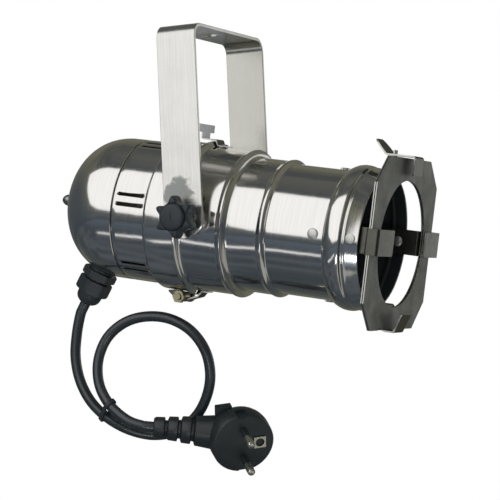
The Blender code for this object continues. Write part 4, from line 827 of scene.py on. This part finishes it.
steel_strip("latch_strip", "latch", "latch_spring", strip_path, latch_edge, sheet=LATCH_SHEET,
            metal=zinc)
rivet("latch_rivet_head", "latch_rivet", BACK_R + GAP + LATCH_SHEET, BACK_R - SHEET,
      AROUND["top"], LATCH_RIVET_X, head_r=LATCH_RIVET_HEAD_R)


# Hinge: under the seam, a steel strip welded to the front part curls into a knuckle, and
# two ears of the rear part turn on it about a yellow passivated screw and nut.
HINGE = Vector((-0.0170, 0, -0.0490))
PIN_R = 0.0020
KNUCKLE_FRONT_X = -0.0006
KNUCKLE_SHEET = 0.0009
KNUCKLE_WIDTH = 0.0092
EAR_SHEET = 0.0010
HINGE_NUT_FLATS = 0.0070
HINGE_NUT_H = 0.0032
ear_out = KNUCKLE_WIDTH / 2 + GAP + EAR_SHEET
weld_z = -(BACK_R + GAP + KNUCKLE_SHEET / 2)
over_z = -(RING_R + GAP + KNUCKLE_SHEET / 2)
curl = arc((HINGE.x, HINGE.z), PIN_R + 0.0002 + KNUCKLE_SHEET / 2, -62, -322, 24)
knuckle_path = [Vector(point) for point in (
    (KNUCKLE_FRONT_X, weld_z), (SEAM_X + 0.0046, weld_z), (SEAM_X + 0.0022, over_z),
    (SEAM_X - 0.0022, over_z - 0.0016), *curl)]
steel_strip("hinge_strip", "can_front", "hinge_knuckle", knuckle_path,
            oblong(0, path_length(knuckle_path), KNUCKLE_WIDTH), sheet=KNUCKLE_SHEET, broken=0.0001)
# The passivate film dries in gold and greenish clouds about a millimetre across
yellow_zinc, _ = grained("yellow_passivated_zinc", "#b3aa86", 1.0, 0.34, grain=0.0012, detail=3.0,
                          tints=("#948b66", "#d3cdb2"))
turned_piece("hinge_hex_nut", "can_front", "yellow_zinc", "hinge_nut",
             CAN @ Matrix.Translation(HINGE) @ facing((0, -1, 0)), ear_out + GAP, yellow_zinc, 96, [
                 (0, PIN_R + GAP / 2), (0, hexagon(HINGE_NUT_FLATS, 0.94)),
                 (0.0003, hexagon(HINGE_NUT_FLATS)), (HINGE_NUT_H - 0.0003, hexagon(HINGE_NUT_FLATS)),
                 (HINGE_NUT_H, hexagon(HINGE_NUT_FLATS, 0.94)), (HINGE_NUT_H, PIN_R + GAP / 2),
                 (0, PIN_R + GAP / 2)], bored=True)
refinish(yellow_zinc, "hinge_screw")
refinish(clip_steel, "rear_lug")


# Cap nut and washer at the dome's pole: bright zinc, on the end of the screw that carries
# the lamp holder inside.
DOME_POLE_X = DOME_SHOULDER_X - DOME_DEPTH
AXIS_SCREW_R = 0.0025
CAP_WASHER_R = 0.0050
CAP_WASHER_H = 0.0010
CAP_NUT_FLATS = 0.0080
CAP_DOME_R = 0.0037
CAP_DOME_H = 0.0054
washer_x = GAP - DOME_POLE_X
at_pole = CAN @ facing((-1, 0, 0))
turned_piece("pole_washer", "can_rear", "zinc_steel", "cap_washer", at_pole, washer_x, zinc, 64, [
    (0, AXIS_SCREW_R + GAP), (0, CAP_WASHER_R), (CAP_WASHER_H - 0.0002, CAP_WASHER_R),
    (CAP_WASHER_H, CAP_WASHER_R - 0.0002), (CAP_WASHER_H, AXIS_SCREW_R + GAP),
    (0, AXIS_SCREW_R + GAP)], bored=True)
cap_dome = [(0.0051 + CAP_DOME_H * math.sin(math.radians(a)),
             CAP_DOME_R * math.cos(math.radians(a)) + 0.00005) for a in range(0, 91, 9)]
turned_piece("pole_cap_nut", "can_rear", "zinc_steel", "cap_nut", at_pole,
             washer_x + CAP_WASHER_H + GAP, zinc, 96, [
                 (0, AXIS_SCREW_R + GAP), (0, hexagon(CAP_NUT_FLATS, 0.94)),
                 (0.0004, hexagon(CAP_NUT_FLATS)), (0.0044, hexagon(CAP_NUT_FLATS)),
                 (0.0048, hexagon(CAP_NUT_FLATS, 0.93)), (0.0050, CAP_DOME_R + 0.0002), *cap_dome])
refinish(zinc, "axis_screw", "holder_bracket", "base_screw_top", "base_screw_bottom")


# Lamp: a 64 mm pressed-glass reflector lamp in a screw cap, held by a fired ceramic holder
# on a bent steel bracket. The lens is stippled and the bowl silvered behind.
lens_glass, lens_coords = new_finish("stippled_pressed_glass", "#c9d0d2", 0.0, 0.12)
set_finish(lens_glass, {"IOR": 1.47, "Coat Weight": 0.3})
# Pressed stipple 2 mm across scatters the beam
stipple = add_node(lens_glass, "TexVoronoi", {"Vector": lens_coords, "Scale": 1 / 0.002})
vary(lens_glass, stipple, tints=("#d8dddd", "#98a1a5"), relief=0.0004)
# The grey backing lacquer runs a little while it dries, in clouds 8 mm across
bowl_glass, _ = grained("silvered_bowl_glass", "#8e9496", 0.7, 0.35, grain=0.008, detail=4.0,
                         gloss=(0.25, 0.5))
# Nickel over turned brass keeps hair lines; handling dulls it in patches 2 mm across
nickel, _ = grained("nickel_plated_brass", "#e8e4d8", 1.0, 0.22, grain=0.002, detail=3.0,
                     gloss=(0.14, 0.32))
# Specks 0.8 mm across show through the glaze
ceramic, _ = grained("glazed_steatite", "#ddd8cb", 0.0, 0.38, grain=0.0008, detail=2.0,
                      tints=("#cfc8b8", "#e8e4da"))
refinish(lens_glass, "lamp_lens")
refinish(bowl_glass, "lamp_reflector")
refinish(nickel, "lamp_cap")
refinish(ceramic, "lamp_holder")


# Cable gland: black nylon, a hexagon against the dome and a second one on the domed
# clamping nut, which grips the lead through a rubber seal.
at_gland = CAN @ Matrix.Translation(GLAND_SEAT) @ facing(GLAND_OUT)
GLAND_THREAD_R = 0.0078
GLAND_THREAD_IN = -0.0085
GLAND_FOOT = 0.0012
GLAND_BODY_H = 0.0060
GLAND_FLATS = 0.0192
GLAND_NUT_FLATS = 0.0188
GLAND_NUT_H = 0.0160
thread_in = GLAND_THREAD_IN - GLAND_FOOT
turned_piece("gland_hexagon", "can_rear", "black_plastic", "gland_body", at_gland, GLAND_FOOT,
             nylon, 144, [
                 (thread_in, GLAND_THREAD_R - 0.0005), (thread_in + 0.0005, GLAND_THREAD_R),
                 (0, GLAND_THREAD_R), (0, hexagon(GLAND_FLATS, 0.94)),
                 (0.0006, hexagon(GLAND_FLATS, 0.985)), (0.0042, hexagon(GLAND_FLATS, 0.985)),
                 (0.0047, hexagon(GLAND_FLATS, 0.94)), (0.0047, GLAND_THREAD_R),
                 (GLAND_BODY_H, GLAND_THREAD_R)])
gland_neck = GLAND_NUT_FLATS / 2 - 0.0016
turned_piece("gland_clamp_nut", "can_rear", "black_plastic", "gland_nut", at_gland,
             GLAND_FOOT + GLAND_BODY_H + GAP, nylon, 144, [
                 (0, 0.0060), (0, hexagon(GLAND_NUT_FLATS, 0.94)),
                 (0.0005, hexagon(GLAND_NUT_FLATS, 0.985)), (0.0078, hexagon(GLAND_NUT_FLATS, 0.985)),
                 (0.0085, hexagon(GLAND_NUT_FLATS, 0.93)), (0.0089, gland_neck + 0.0002),
                 (0.0092, gland_neck), (0.0115, gland_neck * 0.985), (0.0130, gland_neck * 0.94),
                 (0.0142, gland_neck * 0.85), (0.0151, gland_neck * 0.74),
                 (GLAND_NUT_H, gland_neck * 0.57), (GLAND_NUT_H, CORD_R + 0.0001)])
refinish(nylon, "gland_locknut")


# Cable tie: a black nylon strap 2.6 mm wide, pulled round the two runs of the lead where
# they lie near each other, with rounded edges.
TIE_WIDTH = 0.0026
TIE_SHEET = 0.0009
TIE_CLEARANCE = 0.0002
TIE_PLACE = Vector((-0.0818, 0.0, -0.2263))
half_way = len(cord_points) // 2
tie_first, tie_second = [min(strand, key=lambda point: (point - TIE_PLACE).length)
                         for strand in (cord_points[:half_way], cord_points[half_way:])]
tie_across = tie_second - tie_first
tie_along = tie_across.cross(Vector((0, 1, 0))).normalized()
tie_x = tie_across.normalized()
tie_turn = Matrix((tie_x, tie_along.cross(tie_x), tie_along)).transposed().to_4x4()
at_tie = Matrix.Translation((tie_first + tie_second) / 2) @ tie_turn
tie_reach = tie_across.length / 2
tie_inner = CORD_R + TIE_CLEARANCE
bm = bmesh.new()
tie_line = (arc((-tie_reach, 0), tie_inner + TIE_SHEET / 2, 90, 270, 20)
            + arc((tie_reach, 0), tie_inner + TIE_SHEET / 2, -90, 90, 20))
tie_verts = [bm.verts.new((point.x, point.y, -TIE_WIDTH / 2)) for point in tie_line]
tie_edges = [bm.edges.new(pair) for pair in zip(tie_verts, tie_verts[1:] + tie_verts[:1])]
raised = bmesh.ops.extrude_edge_only(bm, edges=tie_edges)["geom"]
bmesh.ops.translate(bm, vec=(0, 0, TIE_WIDTH),
                    verts=[item for item in raised if isinstance(item, bmesh.types.BMVert)])
tie = mesh_piece("nylon_tie", bm, at_tie, nylon)
give_wall(tie, TIE_SHEET, offset=0)
soften(tie, 0.0002)
install(tie, "can_rear", "black_plastic", "cable_tie")


# Plug: one moulding of black PVC. A round face plate with notched sides leans back into a
# ribbed strain relief for the lead; it carries two sleeved pins and an earth contact.
plug_z = PLUG_AIM
plug_x = Vector((0.7858, 0.6127, 0.0843))
plug_x = (plug_x - plug_z * plug_x.dot(plug_z)).normalized()
at_face = (Matrix.Translation(PLUG_FACE)
           @ Matrix((plug_x, plug_z.cross(plug_x), plug_z)).transposed().to_4x4())
LIE_ALONG_Z = Matrix.Rotation(-math.pi / 2, 4, "Y")
PLUG_R = 0.0195
NOTCH_HALF = 0.0028
PIN_LENGTH = 0.0190
PIN_SPACING = 0.0190
SLEEVE_R = 0.0022
SLEEVE_END = 0.0099
EARTH_X = 0.0102
EARTH_SIDE = 0.0076
EARTH_BORE_R = 0.0027


def notched(radius):
    """Round outline with a flat-bottomed slot at each side, for the earth clips."""
    def outline(angle):
        floor = (PLUG_R - 0.0016) / abs(math.cos(angle)) if math.cos(angle) else radius
        in_notch = abs(radius * math.sin(angle)) < NOTCH_HALF
        return min(radius, floor) if in_notch else radius
    return outline


# A satin mould gives a grain 0.35 mm across, rubbed smoother in patches by handling
moulded, moulded_coords = grained(
    "moulded_black_pvc", "#1d2428", 0.0, 0.42, grain=0.009, detail=3.0, gloss=(0.28, 0.5))
satin_grain = add_node(moulded, "TexNoise",
                       {"Vector": moulded_coords, "Scale": 1 / 0.00035, "Detail": 2.0})
vary(moulded, satin_grain, relief=0.00004)
set_finish(moulded, {"Specular IOR Level": 0.7})

shell = lofted([
    (-0.0210, PLUG_R - 0.0110), (-0.0208, PLUG_R - 0.0098),
    (-0.0202, PLUG_R - 0.0080), (-0.0190, PLUG_R - 0.0054),
    (-0.0172, PLUG_R - 0.0032), (-0.0150, PLUG_R - 0.0015),
    (-0.0122, PLUG_R - 0.0005), (-0.0090, PLUG_R), (-0.0080, PLUG_R),
    (-0.0080, notched(PLUG_R)), (-0.0010, notched(PLUG_R - 0.0002)),
    (-0.0003, notched(PLUG_R - 0.0006)), (0, notched(PLUG_R - 0.0013)),
], 180)
shell.transform(at_face @ LIE_ALONG_Z)
relief_length = relief_run.length - PLUG_R * 0.6
relief_pitch = relief_length * 0.148
relief_sections = [(-0.0010, CORD_R + 0.0002), (-0.0010, 0.0052),
                   (-0.0006, 0.0058)]
for rib in range(3):
    start = rib * relief_pitch * 1.4
    radius = 0.0064 + (0.0108 - 0.0064) * start / relief_length
    relief_sections += [
        (start, radius - 0.0003), (start + 0.0004, radius),
        (start + relief_pitch - 0.0004, radius + 0.0003),
        (start + relief_pitch, radius), (start + relief_pitch + 0.0003, radius - 0.0016),
        (start + relief_pitch * 1.28, radius - 0.0015),
    ]
relief_sections += [
    (relief_length * 0.63, 0.0092), (relief_length * 0.80, 0.0100),
    (relief_length * 0.92, 0.0106), (relief_length, 0.0113),
]
relief = lofted(relief_sections, 96)
relief.transform(Matrix.Translation(PLUG_NECK_START) @ facing(relief_aim))
tab = bmesh.new()
bmesh.ops.create_cube(tab, size=1)
bmesh.ops.scale(tab, vec=(0.0100, 0.0072, 0.0050), verts=tab.verts)
bmesh.ops.bevel(tab, geom=tab.edges[:], offset=0.0006, affect="EDGES", segments=3, profile=0.5,
                material=-1)
tab.transform(at_face @ Matrix.Translation((-0.0080, 0.0156, -0.0165)))
joined = bpy.data.meshes.new("plug_moulding")
for form in (relief, tab):
    form.to_mesh(joined)
    shell.from_mesh(joined)
    form.free()
bpy.data.meshes.remove(joined)
plug = mesh_piece("plug_moulding", shell, Matrix.Identity(4), moulded, sharp=35)
install(plug, "can_rear", "black_rubber", "plug_body")

for side, label in ((-1, "left"), (1, "right")):
    pin = lofted([
        (GAP, SLEEVE_R), (SLEEVE_END - 0.0001, SLEEVE_R), (SLEEVE_END + 0.0001, SLEEVE_R + 0.0002),
        (0.0176, 0.0024), (0.0183, 0.00225), (0.0187, 0.0018), (PIN_LENGTH, 0.0011)], 48)
    for face in pin.faces:
        face.material_index = 1 if face.calc_center_median().x < SLEEVE_END else 0
    seat = at_face @ Matrix.Translation((0, side * PIN_SPACING / 2, 0)) @ LIE_ALONG_Z
    pin_piece = mesh_piece(f"sleeved_pin_{label}", pin, seat, nickel, moulded)
    install(pin_piece, "can_rear", "nickel_brass", f"plug_pin_{label}")

earth_edge = oblong(EARTH_X - EARTH_SIDE / 2, EARTH_X + EARTH_SIDE / 2, EARTH_SIDE)
earth = sheet_piece("earth_clip_plate", blank(earth_edge, hole((EARTH_X, 0), EARTH_BORE_R, 32)),
                    at_face @ Matrix.Translation((0, 0, GAP + 0.0004)), 0.0008, nickel)
install(earth, "can_rear", "nickel_brass", "plug_earth_contact")


# Studio: a pale floor well below the hanging can. The camera sees it run out into white,
# while metal mirrors it as the floor of a dark studio.
def stage_finish(name):
    material = bpy.data.materials.new(name)
    material.use_nodes = True
    material.node_tree.nodes.clear()
    return material


def set_tones(ramp, tones):
    """Give a colour ramp its tones by place; the first and last places are 0 and 1."""
    elements = ramp.color_ramp.elements
    for place, colour in tones.items():
        tone = {0: elements[0], 1: elements[-1]}.get(place) or elements.new(place)
        tone.color = linear(colour)


FLOOR_Z = -0.60
floor_paint = stage_finish("pale_studio_floor")
floor_coords = add_node(floor_paint, "TexCoord").outputs["Object"]
floor_out = add_node(floor_paint, "VectorMath", {0: floor_coords}, operation="LENGTH")
fade = add_node(floor_paint, "MapRange", {"Value": floor_out, "From Min": 0.7, "From Max": 1.3},
                interpolation_type="SMOOTHSTEP")
rays = add_node(floor_paint, "LightPath")
# In mirrors the floor is a dark studio's: blue-grey in front, olive-grey at the back, uneven
floor_parts = add_node(floor_paint, "SeparateXYZ", {"Vector": floor_coords})
floor_wear = add_node(floor_paint, "TexNoise",
                      {"Vector": floor_coords, "Scale": 1 / 0.16, "Detail": 4.0})
floor_depth = add_node(floor_paint, "Math", {0: floor_wear, 1: 1.5, 2: floor_parts.outputs["Y"]},
                       operation="MULTIPLY_ADD")
floor_reach = add_node(floor_paint, "MapRange",
                       {"Value": floor_depth, "From Min": -0.5, "From Max": 2.0})
floor_mirror = add_node(floor_paint, "ValToRGB", {"Fac": floor_reach})
set_tones(floor_mirror, {0: "#59616c", 1: "#7b796b", 0.25: "#434a53", 0.42: "#5c6269",
                         0.55: "#434a51", 0.75: "#585c58"})
floor_shade = mixed(floor_paint, rays.outputs["Is Glossy Ray"], "#f4f4f2", floor_mirror)
floor_diffuse = add_node(floor_paint, "BsdfDiffuse", {"Color": floor_shade})
floor_white = add_node(floor_paint, "Emission", {"Color": linear("#ffffff")})
floor_fade = add_node(floor_paint, "Math", {0: fade, 1: rays.outputs["Is Camera Ray"]},
                      operation="MULTIPLY")
floor_mix = add_node(floor_paint, "MixShader", {0: floor_fade, 1: floor_diffuse, 2: floor_white})
add_node(floor_paint, "OutputMaterial", {"Surface": floor_mix})
bm = bmesh.new()
bmesh.ops.create_circle(bm, cap_ends=True, segments=64, radius=2.0,
                        matrix=Matrix.Translation((0, 0, FLOOR_Z)))
floor = mesh_piece("studio_floor", bm, Matrix.Identity(4), floor_paint)
bpy.context.scene.collection.objects.link(floor)
floor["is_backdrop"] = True


# Soft boxes: flat panels that glow evenly. The first gives the broad white band along the
# can, the strip a thin streak below it and the spot a gleam on the flare. One lights the
# back, and the card gives the ring and the beads their pale undersides.
def soft_box(name, colour, strength, corners):
    """A flat panel that glows and that the camera doesn't see."""
    cloth = stage_finish(name)
    panel_glow = add_node(cloth, "Emission", {"Color": linear(colour), "Strength": strength})
    add_node(cloth, "OutputMaterial", {"Surface": panel_glow})
    bm = bmesh.new()
    bmesh.ops.contextual_create(bm, geom=[bm.verts.new(corner) for corner in corners])
    box = mesh_piece(name, bm, Matrix.Identity(4), cloth)
    bpy.context.scene.collection.objects.link(box)
    box.visible_camera = False
    box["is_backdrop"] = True


middle = Vector((0.02, 0, -PIVOT_DROP))
soft_box("main_soft_box", "#ffffff", 1.0, [
    middle + Vector(aim).normalized() * 2.0
    for aim in ((-0.70, -0.71, 0.12), (-0.35, -0.93, -0.12), (0.28, -0.95, -0.14),
                (0.22, -0.42, 0.88), (-0.15, -0.42, 0.90), (-0.75, -0.20, 0.63))])
strip_middle = middle + Vector((-0.5, -0.7, -0.5)).normalized() * 0.8
strip_run = Vector((0.80, -0.55, 0.0)).normalized()
for name, strength, centre, reach, rise in (
        ("low_strip", 0.9, strip_middle + strip_run * 0.125, 0.265, 0.024),
        ("low_spot", 6.0, middle + Vector((0.113, -0.5635, -0.413)), 0.11, 0.055)):
    run, up = strip_run * reach, Vector((0, 0, rise))
    soft_box(name, "#ffffff", strength, [centre - run - up, centre + run - up,
                                         centre + run + up, centre - run + up])
soft_box("rear_soft_box", "#ffffff", 0.65, [
    middle + Vector(aim).normalized() * 2.0
    for aim in ((0.80, 0.55, -0.20), (0.10, 0.98, -0.20), (0.10, 0.97, 0.22), (0.78, 0.58, 0.22))])
soft_box("floor_card", "#e4e6de", 0.42, [
    middle + Vector(aim) * 0.45
    for aim in ((0.15, -0.55, -0.82), (0.55, -0.70, -0.45), (0.66, 0.30, -0.62), (0.36, 0.30, -0.87))])


# Studio walls: white to the eye, pale to plain diffuse light, and a grey room in mirrors,
# darker low down and at the left, with the white backdrop behind the can.
world = bpy.data.worlds.new("studio")
world.use_nodes = True
world.node_tree.nodes.clear()
bpy.context.scene.world = world
aim = add_node(world, "TexCoord").outputs["Generated"]
heights = add_node(world, "SeparateXYZ", {"Vector": aim})
wall_frame = add_node(world, "Mapping", {"Vector": aim, "Scale": (1.6, 1.6, 9.0)})
wall_noise = add_node(world, "TexNoise", {"Vector": wall_frame, "Scale": 1.5, "Detail": 3.0})
uneven = add_node(world, "Math", {0: wall_noise, 1: 0.5, 2: heights.outputs["Z"]},
                  operation="MULTIPLY_ADD")
room_height = add_node(world, "MapRange",
                       {"Value": uneven, "From Min": -0.75, "From Max": 1.25})
room = add_node(world, "ValToRGB", {"Fac": room_height})
set_tones(room, {0: "#2d3236", 1: "#5c5d58", 0.12: "#2d3236", 0.28: "#3a404a", 0.36: "#3f464f",
                 0.5: "#5a5e5c", 0.8: "#6d6c5d", 0.93: "#434749"})
room_left = add_node(world, "MapRange", {"Value": heights.outputs["X"], "From Min": -0.95,
                                         "From Max": -0.65, "To Min": 0.8, "To Max": 0.0})
room_sides = mixed(world, room_left, room, "#3c434b")
backdrop_aim = add_node(world, "VectorMath", {0: aim, 1: (-0.41138, 0.91084, 0.09)},
                        operation="DOT_PRODUCT")
backdrop = add_node(world, "MapRange",
                    {"Value": backdrop_aim, "From Min": 0.985, "From Max": 0.995})
room_view = mixed(world, backdrop, room_sides, "#ffffff")
rays = add_node(world, "LightPath")
seen = mixed(world, rays.outputs["Is Glossy Ray"], "#e4e4e2", room_view)
see_through = add_node(world, "Math", operation="MAXIMUM", sockets={
    0: rays.outputs["Is Camera Ray"], 1: rays.outputs["Is Transmission Ray"]})
sky = mixed(world, see_through, seen, "#ffffff")
sky_glow = add_node(world, "Background", {"Color": sky, "Strength": 1.0})
add_node(world, "OutputWorld", {"Surface": sky_glow})
bpy.context.scene.view_settings.view_transform = "Standard"

low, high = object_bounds()
